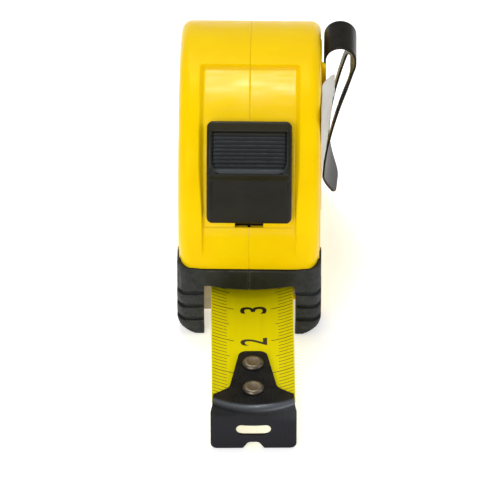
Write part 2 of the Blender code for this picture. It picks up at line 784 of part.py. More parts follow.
def reel_washer(name, side):
    low = min(side * 0.00945, side * 0.0097)
    profile = ring_profile(HUB_HOLE, 0.0045, low, low + 0.00025)
    washer = turned(name, profile, along_x(0.0, 0.0, REEL_Z), 24)
    return as_part(washer, (0.75, 0.75, 0.72), 0.6)


# ---------------------------------------------------------------- belt clip
def clip_arch():
    """Front path of the plate up the case side and over the arch."""
    radius = (CLIP_LEG_X - CLIP_PLATE_X) / 2.0
    middle = CLIP_PLATE_X + radius
    start = [(CLIP_PLATE_X, CLIP_PLATE_FOOT), (CLIP_PLATE_X, 0.0380)]
    over = arc(middle, CLIP_ARCH_Z, radius, 180.0, 0.0, 14)
    return start + over + [(CLIP_LEG_X, CLIP_SPLIT_Z + 0.0003)]


def clip_leg_x(z):
    """The leg leans in to its pinch point, then its tail flares out again."""
    x, pinch = CLIP_PINCH
    if z < pinch:
        return x + CLIP_FLARE * ((pinch - z) / (pinch - CLIP_FOOT)) ** 1.5
    share = (z - pinch) / (CLIP_SPLIT_Z - pinch)
    return x + (CLIP_LEG_X - x) * share ** 1.7


def clip_twist(z):
    """Lean of the leg across its depth: none at the top, most at the pinch and below."""
    share = (CLIP_SPLIT_Z - z) / (CLIP_SPLIT_Z - CLIP_PINCH[1])
    return CLIP_TWIST * min(1.0, max(0.0, share)) ** 1.5


def belt_clip():
    outline = thick_path(clip_arch(), CLIP_SHEET)
    clip = plate("belt_clip", outline, -CLIP_ARCH_Y[1], -CLIP_ARCH_Y[0], "front")
    hole = rod("belt_clip_hole", CLIP_SCREW, SCREW_SHANK + FIT_GAP, 0.0120, 0.0160, steps=16)
    combine(clip, hole)
    return as_part(clip, (0.030, 0.029, 0.028), 0.35, 0.8)


def clip_leg():
    """Sprung leg: two strips round a long window, meeting in a rounded tail."""
    top = CLIP_SPLIT_Z
    steps = 18
    path = []
    for step in range(steps + 1):
        z = top + (CLIP_FOOT - top) * step / steps
        path.append((clip_leg_x(z), z))
    outline = thick_path(path, CLIP_SHEET)
    front = CLIP_FRONT
    back = CLIP_FRONT + CLIP_DEPTH
    leg = plate("clip_leg", outline, -back, -front, "front")
    foot = CLIP_FOOT + 0.0001
    wide_low, wide_high = CLIP_WIDE_Z
    neck_front, neck_back = CLIP_ARCH_Y
    above = CLIP_SPLIT_Z + 0.0050
    edge = fillet([
        (neck_front, above, 0.0),
        (neck_front, CLIP_NECK_Z, 0.0030),
        (front, wide_high, 0.0030),
        (front, wide_low, 0.0025),
        (front + 0.0026, foot, 0.0022),
        (back - 0.0050, foot, 0.0040),
        (back, wide_low, 0.0050),
        (back, wide_high, 0.0050),
        (neck_back, CLIP_NECK_Z, 0.0030),
        (neck_back, above, 0.0),
    ], 6)
    combine(leg, plate("clip_leg_edge", edge, 0.0100, 0.0300), "INTERSECT")
    strip_front, strip_back = CLIP_STRIP
    bottom, low, high, top = CLIP_WINDOW_Z
    middle = front + CLIP_DEPTH / 2.0
    window = fillet([
        (front + strip_front, top, 0.0014),
        (front + strip_front, low, 0.0020),
        (middle, bottom, 0.0020),
        (back - strip_back, low, 0.0020),
        (back - strip_back, high, 0.0020),
        (neck_back - strip_front, top, 0.0014),
    ], 5)
    combine(leg, plate("clip_leg_window", window, 0.0100, 0.0300))
    for vertex in leg.data.vertices:
        lean = (vertex.co.y - middle) / (CLIP_DEPTH / 2.0)
        vertex.co.x += clip_twist(vertex.co.z) * lean
    return as_part(leg, (0.030, 0.029, 0.028), 0.35, 0.8)


def screw(name, place, head_x, length, side):
    """Pan head screw along X: side is -1 where the head faces -X, +1 where it faces +X."""
    profile = [
        (0.0, 0.0),
        (SCREW_HEAD * 0.75, -0.0001),
        (SCREW_HEAD, -0.0005),
        (SCREW_HEAD, -0.0011),
        (SCREW_SHANK, -0.0011),
        (SCREW_SHANK, -length + 0.0006),
        (0.0, -length),
    ]
    facing = Matrix.Rotation(side * math.pi / 2.0, 4, "Y")
    matrix = Matrix.Translation((head_x, *place)) @ facing
    return as_part(turned(name, profile, matrix, 20), (0.30, 0.30, 0.30), 0.3, 1.0)


def side_label():
    """Blank paper label on the clip side; its back edge lifts off towards the leg."""
    front, back = LABEL_Y
    low, high = LABEL_Z
    bpy.ops.mesh.primitive_grid_add(x_subdivisions=12, y_subdivisions=8, size=1.0)
    label = bpy.context.object
    label.name = "side_label"
    for vertex in label.data.vertices:
        along = vertex.co.x + 0.5
        up = vertex.co.y + 0.5
        y = front + (back - front) * along
        z = low + (high - low) * up
        near_back = max(0.0, (y - back) / LABEL_LIFT_DEPTH + 1.0)
        lift = LABEL_LIFT * near_back ** 1.3 * up ** 0.5
        vertex.co = (CASE_HALF_WIDTH + FIT_GAP + lift, y, z)
    paper = label.modifiers.new("paper", "SOLIDIFY")
    paper.thickness = LABEL_THICK
    paper.offset = 1.0
    return as_part(label, (0.62, 0.61, 0.58), 0.8)


# ---------------------------------------------------------------- assembly
def build():
    case_half("case_left", -1)
    case_half("case_right", 1)
    bumper_half("bumper_left", -1)
    bumper_half("bumper_right", 1)
    hook_stop()
    lock_spring()
    blade_feed()
    spring_arbor()
    reel_washer("reel_washer_left", -1)
    reel_washer("reel_washer_right", 1)
    belt_clip()
    side_label()
    for index, place in enumerate(SCREW_PLACES):
        screw(f"case_screw_{index + 1}", place, -0.0131, 0.0200, -1)
    screw("clip_screw", CLIP_SCREW, 0.0160, 0.0055, 1)

    lock_axis = joint_empty("lock_axis", (0.0, 0.0, LOCK_AXIS_Z))
    hang_on(lock_axis, thumb_lock(), lock_tongue())
    reel_axis = joint_empty("reel_axis", (0.0, 0.0, REEL_Z))
    hang_on(reel_axis, reel_drum(), reel_cover(), blade_coil(), power_spring())
    blade_slide = joint_empty("blade_slide", (BLADE_X, BLADE_PIVOT_Y, BLADE_Z))
    hook_slide = joint_empty("hook_slide", (BLADE_X, HOOK_FRONT, BLADE_Z))
    hang_on(blade_slide, blade_tip(), hook_slide)
    hang_on(blade_slide, rivet("rivet_front", RIVET_BACK[0]), rivet("rivet_rear", RIVET_BACK[1]))
    hang_on(hook_slide, end_hook())
    blade_slide.rotation_euler.z = BLADE_YAW
    clip_bend = joint_empty("clip_bend", (CLIP_LEG_X, 0.0, CLIP_SPLIT_Z))
    hang_on(clip_bend, clip_leg())


build()
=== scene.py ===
"""Looks of a pocket tape measure: moulded case, rubber bumper, thumb lock, blade, hook and clip.

Metres, +Z up, the mouth towards -Y and the belt clip on the +X side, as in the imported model.
"""
import json
from bisect import bisect_right
from math import asin, atan2, copysign, cos, degrees, dist, exp, pi, radians, sin, sqrt, tan, tau

import bmesh
import bpy
from mathutils import Matrix, Vector


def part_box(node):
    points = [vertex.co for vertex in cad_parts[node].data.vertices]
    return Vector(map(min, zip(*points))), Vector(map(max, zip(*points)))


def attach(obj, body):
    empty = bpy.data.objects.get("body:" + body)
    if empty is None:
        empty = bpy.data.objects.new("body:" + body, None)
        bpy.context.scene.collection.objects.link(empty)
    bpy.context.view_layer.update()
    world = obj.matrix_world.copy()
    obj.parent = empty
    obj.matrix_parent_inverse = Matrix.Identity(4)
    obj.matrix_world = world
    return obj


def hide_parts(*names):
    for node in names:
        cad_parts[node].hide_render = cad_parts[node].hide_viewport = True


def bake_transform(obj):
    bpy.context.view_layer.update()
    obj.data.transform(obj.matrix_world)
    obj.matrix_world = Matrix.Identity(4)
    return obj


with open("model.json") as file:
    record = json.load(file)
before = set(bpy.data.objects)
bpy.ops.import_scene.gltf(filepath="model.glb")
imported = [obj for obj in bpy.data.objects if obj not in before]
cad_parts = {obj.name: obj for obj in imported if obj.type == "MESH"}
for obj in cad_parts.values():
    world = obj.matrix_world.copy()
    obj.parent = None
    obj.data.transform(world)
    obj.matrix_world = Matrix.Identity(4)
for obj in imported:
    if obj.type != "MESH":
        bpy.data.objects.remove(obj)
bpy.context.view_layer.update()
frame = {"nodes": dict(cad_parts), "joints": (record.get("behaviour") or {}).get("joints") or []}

JOINTS = {joint["name"]: joint for joint in frame["joints"]}

# -------- sizes from the frame
CASE_HALF, CASE_RADIUS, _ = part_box("case_right")[1]
AXIS_Z = JOINTS["lock_slide"]["pos_m"][2]
BUMPER_LOW, BUMPER_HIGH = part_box("bumper_right")
LABEL_LOW, LABEL_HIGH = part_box("side_label")

MM = 0.001
BACK_CORNER = 6.0 * MM
RIM = 2.0 * MM
SKIN = 1.2 * MM
FLANK_DEPTH = 2.1 * MM
PANEL_EDGE = 2.9 * MM
PANEL_SINK = 0.40 * MM
PANEL_INSET = 3.4 * MM
SEAM = 0.012 * MM
MOUTH_HALF = 8.95 * MM
MOUTH_TOP = 11.35 * MM
MOUTH_BACK = -14.0 * MM
SEAT_Y = BUMPER_HIGH.y + 0.15 * MM
SEAT_Z = BUMPER_HIGH.z + 0.15 * MM

CHANNEL_HALF = 8.7 * MM
CHANNEL_DEPTH = 0.95 * MM
CHANNEL_TOP_DEG = 75.5
CHANNEL_STEP_Z = 24.2 * MM
CHANNEL_END_Z = 18.2 * MM
SLOT_HALF = 2.7 * MM
SLOT_DEG = (-1.8, 28.0)

LOCK_DEG = (2.4, 47.4)
LOCK_INNER = 24.45 * MM


# -------- mesh helpers
def add_object(name, data):
    obj = bpy.data.objects.new(name, data)
    bpy.context.scene.collection.objects.link(obj)
    return obj


def smoothed(mesh, sharp):
    """Shade a mesh smooth, with turns of more than sharp degrees kept crisp."""
    mesh.shade_smooth()
    if sharp is not None:
        mesh.set_sharp_from_angle(angle=radians(sharp))
    return mesh


def from_bmesh(name, edit, sharp=35.0):
    mesh = bpy.data.meshes.new(name)
    edit.to_mesh(mesh)
    edit.free()
    return add_object(name, smoothed(mesh, sharp))


def evaluated_mesh(obj):
    """New mesh of an object as its modifiers or curve settings make it."""
    bpy.context.view_layer.update()
    graph = bpy.context.evaluated_depsgraph_get()
    return bpy.data.meshes.new_from_object(obj.evaluated_get(graph))


def bake_modifiers(obj, sharp=35.0):
    """Replace the object's mesh with its evaluated one and drop the modifiers."""
    mesh = evaluated_mesh(obj)
    obj.modifiers.clear()
    obj.data = smoothed(mesh, sharp)
    mesh.name = obj.name
    return obj


def curve_to_bmesh(curve, weld):
    """Editable mesh of a filled and extruded curve, points closer than weld joined."""
    holder = add_object(curve.name + "_curve", curve)
    mesh = evaluated_mesh(holder)
    bpy.data.objects.remove(holder, do_unlink=True)
    edit = bmesh.new()
    edit.from_mesh(mesh)
    bmesh.ops.remove_doubles(edit, verts=edit.verts, dist=weld)
    return edit


def face_outwards(edit):
    bmesh.ops.recalc_face_normals(edit, faces=edit.faces)


def grid_faces(edit, rows, close_rows=False, close_columns=False):
    """Quads between neighbouring rows of vertices."""
    for i in range(len(rows) if close_rows else len(rows) - 1):
        here = rows[i]
        there = rows[(i + 1) % len(rows)]
        for j in range(len(here) if close_columns else len(here) - 1):
            k = (j + 1) % len(here)
            edit.faces.new((here[j], here[k], there[k], there[j]))


def fan(edit, ring, place):
    """Triangles from a closed ring of vertices to a new one."""
    tip = edit.verts.new(place)
    for here, there in zip(ring, ring[1:] + ring[:1]):
        edit.faces.new((here, there, tip))


def rim_of(rows):
    """The ring of vertices round the outside of a grid."""
    ring = rows[0] + [row[-1] for row in rows[1:-1]] + rows[-1][::-1]
    return ring + [row[0] for row in rows[1:-1]][::-1]


def thin_solid(name, point, columns, rows, sharp=35.0):
    """Closed sheet from point(u, v, side), side 0 on the under face and 1 on the upper."""
    edit = bmesh.new()
    layers = []
    for side in (0, 1):
        layers.append([
            [edit.verts.new(point(u, v, side)) for u in columns] for v in rows])
        grid_faces(edit, layers[side])
    grid_faces(edit, [rim_of(layer) for layer in layers], close_columns=True)
    face_outwards(edit)
    return from_bmesh(name, edit, sharp)


def smooth_step(low, high, value):
    share = min(1.0, max(0.0, (value - low) / (high - low)))
    return share * share * (3.0 - 2.0 * share)


def smooth_mm(low, high, value):
    """smooth_step with its limits in millimetres and its value in metres."""
    return smooth_step(low * MM, high * MM, value)


def round_drop(radius, distance):
    """How far a rounded edge falls away at a distance in from its end."""
    if distance >= radius:
        return 0.0
    return radius - sqrt(radius ** 2 - (radius - distance) ** 2)


def spread(low, high, count):
    return [low + (high - low) * step / count for step in range(count + 1)]


def arc(u, v, radius, start_deg, end_deg, steps):
    points = []
    for angle in spread(start_deg, end_deg, steps):
        turn = radians(angle)
        points.append((u + radius * cos(turn), v + radius * sin(turn)))
    return points


def fillet(corners, steps=8):
    """Closed outline through (u, v, radius) corners, each rounded by its radius."""
    outline = []
    for index, (u, v, radius) in enumerate(corners):
        here = Vector((u, v))
        if radius == 0.0:
            outline.append((u, v))
            continue
        back = (Vector(corners[index - 1][:2]) - here).normalized()
        ahead = (Vector(corners[(index + 1) % len(corners)][:2]) - here).normalized()
        half = back.angle(ahead) / 2.0
        centre = here + (back + ahead).normalized() * (radius / sin(half))
        start = here + back * (radius / tan(half)) - centre
        end = here + ahead * (radius / tan(half)) - centre
        turn = -start.angle_signed(end)
        first = atan2(start.y, start.x)
        for angle in spread(first, first + turn, steps):
            outline.append((centre.x + radius * cos(angle), centre.y + radius * sin(angle)))
    return outline


def outline_solid(name, outlines, low, high, matrix=None, bevel=0.0):
    """Flat outlines (the first with the others as holes) made solid from low to high."""
    curve = bpy.data.curves.new(name, "CURVE")
    curve.dimensions = "2D"
    curve.fill_mode = "BOTH"
    curve.extrude = (high - low) / 2.0 - bevel
    curve.bevel_depth = bevel
    curve.bevel_resolution = 3
    curve.offset = -bevel
    for outline in outlines:
        spline = curve.splines.new("POLY")
        spline.points.add(len(outline) - 1)
        for point, (u, v) in zip(spline.points, outline):
            point.co = (u, v, 0.0, 1.0)
        spline.use_cyclic_u = True
    edit = curve_to_bmesh(curve, 1e-7)
    face_outwards(edit)
    edit.transform(Matrix.Translation((0.0, 0.0, (low + high) / 2.0)))
    if matrix is not None:
        edit.transform(matrix)
    return from_bmesh(name, edit)


def cut_out(target, tool):
    """Take a solid away from another."""
    modifier = target.modifiers.new("cut", "BOOLEAN")
    modifier.operation = "DIFFERENCE"
    modifier.solver = "EXACT"
    modifier.object = tool
    bake_modifiers(target)
    bpy.data.objects.remove(tool, do_unlink=True)


def soften(obj, voxel, rounds):
    """Even out a solid into small quads and round its edges, as a moulding has them."""
    remesh = obj.modifiers.new("remesh", "REMESH")
    remesh.mode = "VOXEL"
    remesh.voxel_size = voxel
    relax = obj.modifiers.new("relax", "SMOOTH")
    relax.factor = 0.5
    relax.iterations = rounds
    return bake_modifiers(obj, sharp=None)


def reshape(obj, moved):
    """Move every vertex of a mesh from (x, y, z) to moved(x, y, z)."""
    for vertex in obj.data.vertices:
        vertex.co = moved(*vertex.co)


def copy_of(node, name):
    return add_object(name, frame["nodes"][node].data.copy())


SIDE = Matrix(((0, 0, 1, 0), (1, 0, 0, 0), (0, 1, 0, 0), (0, 0, 0, 1)))
FRONT = Matrix(((1, 0, 0, 0), (0, 0, -1, 0), (0, 1, 0, 0), (0, 0, 0, 1)))


def placing(place, turn, axis):
    """Matrix that turns about an axis at the origin and then moves to a place."""
    return Matrix.Translation(place) @ Matrix.Rotation(turn, 4, axis)


def in_mm(points):
    """Points given in millimetres, as metres."""
    return [[value * MM for value in point] for point in points]


def raised(profile, height):
    """(radius, rise) points given in millimetres, as metres from a height."""
    return [(radius * MM, height + rise * MM) for radius, rise in profile]


def turned(name, profile, matrix, steps=64):
    """Closed solid of revolution about local Z from (radius, height) points, axis to axis."""
    edit = bmesh.new()
    rows = []
    for radius, height in profile[1:-1]:
        ring = []
        for step in range(steps):
            angle = tau * step / steps
            ring.append(edit.verts.new((radius * cos(angle), radius * sin(angle), height)))
        rows.append(ring)
    grid_faces(edit, rows, close_columns=True)
    fan(edit, rows[0], (0.0, 0.0, profile[0][1]))
    fan(edit, rows[-1], (0.0, 0.0, profile[-1][1]))
    face_outwards(edit)
    edit.transform(matrix)
    return from_bmesh(name, edit, 50.0)


def paint(obj, look):
    obj.data.materials.clear()
    obj.data.materials.append(look.material)


def dress(obj, body, slot_name, look, *nodes):
    """Material, body and the CAD nodes that a finished piece stands for."""
    paint(obj, look)
    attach(obj, body)
    if nodes:
        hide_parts(*nodes)


# -------- materials
def shade(colour, share):
    """A colour made lighter or darker by a share."""
    return tuple(share * part for part in colour)


class Finish:
    """A Principled material with helpers for procedural detail in object space.

    Sizes, distances and limits given to the helpers are in millimetres.
    """

    def __init__(self, name, colour, roughness, metallic=0.0):
        self.material = bpy.data.materials.new(name)
        self.material.use_nodes = True
        self.nodes = self.material.node_tree.nodes
        self.links = self.material.node_tree.links
        self.shader = self.nodes["Principled BSDF"]
        self.place = self.nodes.new("ShaderNodeTexCoord").outputs["Object"]
        self.height = None
        self.set(base_color=colour, roughness=roughness, metallic=metallic)

    def feed(self, socket, value):
        """Link an input to another socket, or set it to a number, a vector or a colour."""
        if isinstance(value, bpy.types.NodeSocket):
            self.links.new(value, socket)
        else:
            socket.default_value = (*value, 1.0) if socket.type == "RGBA" else value

    def set(self, **values):
        """Feed the shader's inputs, named in lower case with underscores."""
        for name, value in values.items():
            title = name.replace("_", " ").title().replace("Ior", "IOR")
            self.feed(self.shader.inputs[title], value)
        return self

    def add(self, kind, inputs, **settings):
        """New shader node with its inputs fed."""
        node = self.nodes.new("ShaderNode" + kind)
        for name, value in settings.items():
            setattr(node, name, value)
        for key, value in inputs.items():
            self.feed(node.inputs[key], value)
        return node

    def noise(self, size, detail=3.0, stretch=(1.0, 1.0, 1.0)):
        """Noise value with features about size across."""
        scale = [share / (size * MM) for share in stretch]
        mapping = self.add("Mapping", {"Scale": scale, "Vector": self.place})
        return self.add("TexNoise", {
            "Scale": 1.0, "Detail": detail, "Vector": mapping.outputs["Vector"],
        }).outputs["Fac"]

    def grains(self, size):
        """Rounded cells about size across, for a moulded texture."""
        scale = 1.0 / (size * MM)
        return self.add("TexVoronoi", {"Scale": scale, "Vector": self.place}).outputs["Distance"]

    def ramp(self, value, low, high, start=0.35, end=0.65):
        """Number from low to high as a value goes from start to end."""
        return self.add("MapRange", {
            "Value": value, "From Min": start, "From Max": end, "To Min": low, "To Max": high,
        }).outputs["Result"]

    def uneven(self, size, detail, low, high, stretch=(1.0, 1.0, 1.0)):
        """Number drifting from low to high in patches about size across."""
        return self.ramp(self.noise(size, detail, stretch), low, high)

    def mix(self, factor, first, second):
        """Colour from first to second by factor; each is a colour or a socket."""
        node = self.add("Mix", {"Factor": factor}, data_type="RGBA")
        colour_inputs = [s for s in node.inputs if s.type == "RGBA"]
        for socket, value in zip(colour_inputs, (first, second)):
            self.feed(socket, value)
        return [s for s in node.outputs if s.type == "RGBA"][0]

    def patches(self, size, detail, first, second, stretch=(1.0, 1.0, 1.0)):
        """Colour drifting from first to second in patches about size across."""
        return self.mix(self.uneven(size, detail, 0.0, 1.0, stretch), first, second)

    def bump(self, value, distance):
        """Add a height layer, rising by a distance for a full step of the value."""
        inputs = {"Distance": distance * MM, "Height": value}
        if self.height is not None:
            inputs["Normal"] = self.height
        self.height = self.add("Bump", inputs).outputs["Normal"]
        self.set(normal=self.height)

    def edges(self, start, end):
        """Near 1 on outer edges, for wear, dust and painted edge highlights."""
        return self.ramp(self.add("NewGeometry", {}).outputs["Pointiness"], 0.0, 1.0, start, end)

    def times(self, first, second):
        return self.add("Math", {0: first, 1: second}, operation="MULTIPLY").outputs["Value"]

    def band(self, value, low, high, soft):
        """1 where a length lies between low and high, fading over soft to each side."""
        low, high, soft = low * MM, high * MM, soft * MM
        below = self.ramp(value, 1.0, 0.0, high - soft, high + soft)
        above = self.ramp(value, 0.0, 1.0, low - soft, low + soft)
        return self.times(below, above)

    def within(self, axis, low, high, soft):
        """Band of the distance from zero along an object axis."""
        split = self.add("SeparateXYZ", {"Vector": self.place})
        size = self.add("Math", {0: split.outputs[axis]}, operation="ABSOLUTE")
        return self.band(size.outputs["Value"], low, high, soft)

    def reach(self, height, low, high, soft):
        """Band of the distance from the line along X at a height."""
        offset = self.add(
            "VectorMath", {0: self.place, 1: (0.0, 0.0, height)}, operation="SUBTRACT")
        flat = self.add(
            "VectorMath", {0: offset.outputs["Vector"], 1: (0.0, 1.0, 1.0)}, operation="MULTIPLY")
        size = self.add("VectorMath", {0: flat.outputs["Vector"]}, operation="LENGTH")
        return self.band(size.outputs["Value"], low, high, soft)


def case_finish():
    """Yellow moulding: faint flow marks and a fine skin, polished in the lock's channel."""
    look = Finish("case_yellow", (0.93, 0.60, 0.001), 0.34)
    polish_and_highlight = look.times(
        look.within("X", -1, CHANNEL_HALF / MM - 0.1, 0.1),
        look.reach(AXIS_Z, CASE_RADIUS / MM - 3.0, CASE_RADIUS / MM - 0.5, 0.1))
    streaks = look.ramp(look.noise(1.6, 3.0, (0.25, 1.0, 1.0)), 0.35, 1.0, 0.4, 0.7)
    look.bump(look.noise(0.35, 2.0), 0.004)
    look.bump(look.noise(6, 1.0), 0.03)
    return look.set(
        base_color=look.patches(9, 4.0, (0.945, 0.640, 0.001), (0.915, 0.590, 0.001)),
        roughness=look.uneven(2.5, 5.0, 0.28, 0.40),
        coat_weight=look.times(polish_and_highlight, streaks), coat_roughness=0.24,
        specular_ior_level=0.2, specular_tint=(1.0, 0.80, 0.10),
        subsurface_weight=0.05, subsurface_radius=(1.0, 0.6, 0.1), subsurface_scale=0.8 * MM)


def rubber_finish():
    """Matt black rubber with a fine cell texture, and pale dust on raised edges, made lighter to
    be a painted highlight too.
    """
    look = Finish("bumper_rubber", (0.016, 0.017, 0.016), 0.62)
    dust_and_highlight = look.times(look.edges(0.50, 0.60), look.uneven(1.2, 5.0, 0.1, 1.0))
    base = look.patches(5, 4.0, (0.008, 0.009, 0.007), (0.017, 0.018, 0.015))
    # Pale edge colour: dust, made lighter to also paint the highlight the edges catch.
    with_dust_and_highlight = look.mix(dust_and_highlight, base, (0.120, 0.125, 0.130))
    scuffed = look.mix(look.uneven(0.6, 4.0, 0.2, 0.9), with_dust_and_highlight, (0.026, 0.029, 0.029))
    cheeks = look.within("X", 8.4, 20.0, 1.4)
    look.bump(look.grains(0.28), 0.02)
    look.bump(look.noise(0.15, 2.0), 0.012)
    return look.set(
        base_color=look.mix(cheeks, with_dust_and_highlight, scuffed),
        roughness=look.uneven(1.5, 4.0, 0.50, 0.72), specular_ior_level=0.28)


def lock_finish(name, smooth, rib_sky_reflection, light, rough):
    """Satin black plastic, duller and bluer on its ribs (a painted sky reflection), browner on its
    top band (a painted reflection of the yellow case), with a painted highlight on its lip and
    rubbed lighter along its edges.
    """
    look = Finish(name, smooth, rough)
    worn = look.times(look.edges(0.520, 0.580), look.uneven(0.9, 4.0, 0.3, 1.0))
    base = look.patches(4, 3.0, smooth, shade(smooth, 1.3))
    ribs = look.times(look.within("X", -1, 7.0, 0.2), look.within("Z", 36.2, 42.3, 0.25))
    lip = look.times(look.within("X", -1, 6.4, 0.5), look.within("Z", 36.7, 37.5, 0.2))
    crest_reflection = look.within("Z", 43.2, 50, 0.3)
    # Painted reflection: the top band is tinted brown for the yellow case it reflects.
    base = look.mix(crest_reflection, base, (0.0200, 0.0170, 0.0060))
    # Painted light: the ribs get a bluer colour for the sky they reflect, and the lip gets the
    # light colour as a painted highlight.
    body = look.mix(lip, look.mix(ribs, base, rib_sky_reflection), light)
    look.bump(look.grains(0.22), 0.006)
    return look.set(
        # The light colour on the edges is rubbed wear.
        base_color=look.mix(worn, body, light),
        roughness=look.uneven(1.0, 4.0, rough - 0.08, rough + 0.08),
        specular_ior_level=0.22)


def blade_finish():
    """Yellow enamel under a clear film, with faint rolling marks along the blade."""
    look = Finish("blade_enamel", (0.73, 0.62, 0.002), 0.35)
    look.bump(look.noise(0.25, 3.0), 0.004)
    return look.set(
        base_color=look.patches(
            1.4, 4.0, (0.790, 0.680, 0.001), (0.755, 0.645, 0.001), (1.0, 0.06, 1.0)),
        roughness=look.uneven(0.8, 5.0, 0.30, 0.46),
        coat_weight=0.05, coat_roughness=0.2,
        specular_ior_level=0.3, specular_tint=(1.0, 0.92, 0.10))


def ink_finish(name, colour):
    """Printed ink, a little uneven in density."""
    look = Finish(name, colour, 0.45)
    thin = look.ramp(look.noise(0.12, 4.0), 0.0, 1.0, 0.45, 0.75)
    return look.set(base_color=look.mix(thin, colour, tuple(1.6 * part + 0.01 for part in colour)))


def black_steel(name, dark, rough, wear, bend=None):
    """Blackened steel: soft mottling, grey rubbed edges, fine scratches, a lighter bluer lip as
    painted light, and a polished bend whose lighter colour is also a painted highlight.
    """
    look = Finish(name, dark, rough, 0.35)
    worn = look.times(look.edges(0.515, 0.60), look.uneven(0.7, 5.0, 0.2, 1.0))
    base = look.patches(2.2, 5.0, dark, shade(dark, 1.5))
    if bend is not None:
        # Painted highlight: the bend gets a lighter colour for the highlight it catches, on top of
        # its polish.
        polish_and_highlight = look.times(look.within("Y", *bend, 0.35), look.within("Z", 7, 12, 1))
        # Painted light: the front-facing lip is given a lighter, bluer colour than the tongue.
        lip = look.within("Z", -1, 7.6, 0.4)
        base = look.mix(lip, base, (0.021, 0.021, 0.0245))
        base = look.mix(polish_and_highlight, base, (0.105, 0.112, 0.124))
    look.bump(look.noise(0.5, 2.0), 0.001)
    return look.set(
        base_color=look.mix(look.times(worn, wear), base, (0.30, 0.29, 0.28)),
        roughness=look.uneven(0.10, 3.0, rough - 0.03, rough + 0.05, (1.0, 0.08, 1.0)),
        specular_ior_level=0.10, ior=1.35)


def bare_metal(name, colour, rough):
    """Turned or plated metal with fine marks and dull patches."""
    look = Finish(name, colour, rough, 1.0)
    look.bump(look.noise(0.08, 2.0), 0.003)
    return look.set(
        base_color=look.patches(0.8, 5.0, colour, shade(colour, 0.72)),
        roughness=look.uneven(0.3, 4.0, rough - 0.08, rough + 0.14))


def plain_plastic(name, colour, rough):
    """Unseen or small mouldings: slight mottling and a fine skin."""
    look = Finish(name, colour, rough)
    look.bump(look.noise(0.3, 2.0), 0.008)
    return look.set(
        base_color=look.patches(2.0, 4.0, colour, shade(colour, 0.86)),
        roughness=look.uneven(0.9, 3.0, rough - 0.06, rough + 0.08))


def paper_finish():
    """Blank matt paper with fibres, a little yellowed."""
    look = Finish("label_paper", (0.66, 0.64, 0.60), 0.85)
    look.bump(look.noise(0.18, 4.0, (1.0, 0.5, 1.0)), 0.015)
    return look.set(base_color=look.patches(5, 4.0, (0.70, 0.685, 0.65), (0.60, 0.57, 0.51)))


CASE_LOOK = case_finish()
RUBBER_LOOK = rubber_finish()
# The plain colour's olive-brown tint is a painted reflection of the yellow case; the ribbed colour
# is a painted sky reflection; the light colour is the painted lip highlight and rubbed edges.
LOCK_LOOK = lock_finish(
    "lock_black", (0.0090, 0.0080, 0.0035), (0.0105, 0.0130, 0.0142), (0.038, 0.044, 0.048), 0.42)
INNER_LOOK = lock_finish(
    "lock_inner", (0.020, 0.020, 0.021), (0.020, 0.020, 0.021), (0.05, 0.05, 0.05), 0.55)
BLADE_LOOK = blade_finish()
TICK_LOOK = ink_finish("tick_ink", (0.070, 0.062, 0.006))
DIGIT_LOOK = ink_finish("digit_ink", (0.012, 0.010, 0.004))
HOOK_LOOK = black_steel("hook_steel", (0.0135, 0.0135, 0.0140), 0.28, 0.10, (59.6, 60.5))
CLIP_LOOK = black_steel("clip_steel", (0.0165, 0.0145, 0.0120), 0.30, 0.2)
RIVET_LOOK = bare_metal("rivet_metal", (0.195, 0.165, 0.122), 0.40)
SCREW_LOOK = bare_metal("screw_steel", (0.48, 0.48, 0.49), 0.30)
SPRING_LOOK = bare_metal("spring_steel", (0.30, 0.32, 0.36), 0.30)
STOP_LOOK = plain_plastic("stop_ivory", (0.62, 0.54, 0.42), 0.5)
REEL_LOOK = plain_plastic("reel_plastic", (0.07, 0.07, 0.075), 0.5)
WASHER_LOOK = plain_plastic("washer_white", (0.72, 0.72, 0.70), 0.6)
PAPER_LOOK = paper_finish()


# -------- case
def both_ends(low, high, steps):
    """Places at each step in from both ends."""
    return [low + step for step in steps] + [high - step for step in steps]


def merged(values, least):
    """Sorted values with near repeats dropped."""
    kept = []
    for value in sorted(values):
        if not kept or value - kept[-1] > least:
            kept.append(value)
    return kept


def case_stations():
    """Points (y, z, normal y, normal z) round the case, up the front and over the top."""
    stations = []
    front = merged(
        spread(SEAT_Z, AXIS_Z, 40)
        + spread(CHANNEL_STEP_Z - 0.15 * MM, CHANNEL_STEP_Z + 0.15 * MM, 6), 0.02 * MM)
    for z in front[:-1]:
        stations.append((-CASE_RADIUS, z, -1.0, 0.0))
    wall = degrees(0.14 * MM / CASE_RADIUS)
    angles = spread(0.0, 180.0, 120) + list(SLOT_DEG[1:])
    angles += spread(CHANNEL_TOP_DEG - 3.0 * wall, CHANNEL_TOP_DEG + 3.0 * wall, 14)
    for angle in merged(angles, 0.04):
        turn = radians(angle)
        y, z = -cos(turn), sin(turn)
        stations.append((CASE_RADIUS * y, AXIS_Z + CASE_RADIUS * z, y, z))
    for z in spread(AXIS_Z, BACK_CORNER, 12)[1:]:
        stations.append((CASE_RADIUS, z, 1.0, 0.0))
    centre = (CASE_RADIUS - BACK_CORNER, BACK_CORNER)
    for angle in spread(0.0, -90.0, 12)[1:]:
        turn = radians(angle)
        y, z = cos(turn), sin(turn)
        stations.append((centre[0] + BACK_CORNER * y, centre[1] + BACK_CORNER * z, y, z))
    for y in [*spread(centre[0], MOUTH_BACK, 16)[1:], SEAT_Y]:
        stations.append((y, 0.0, 0.0, -1.0))
    return stations


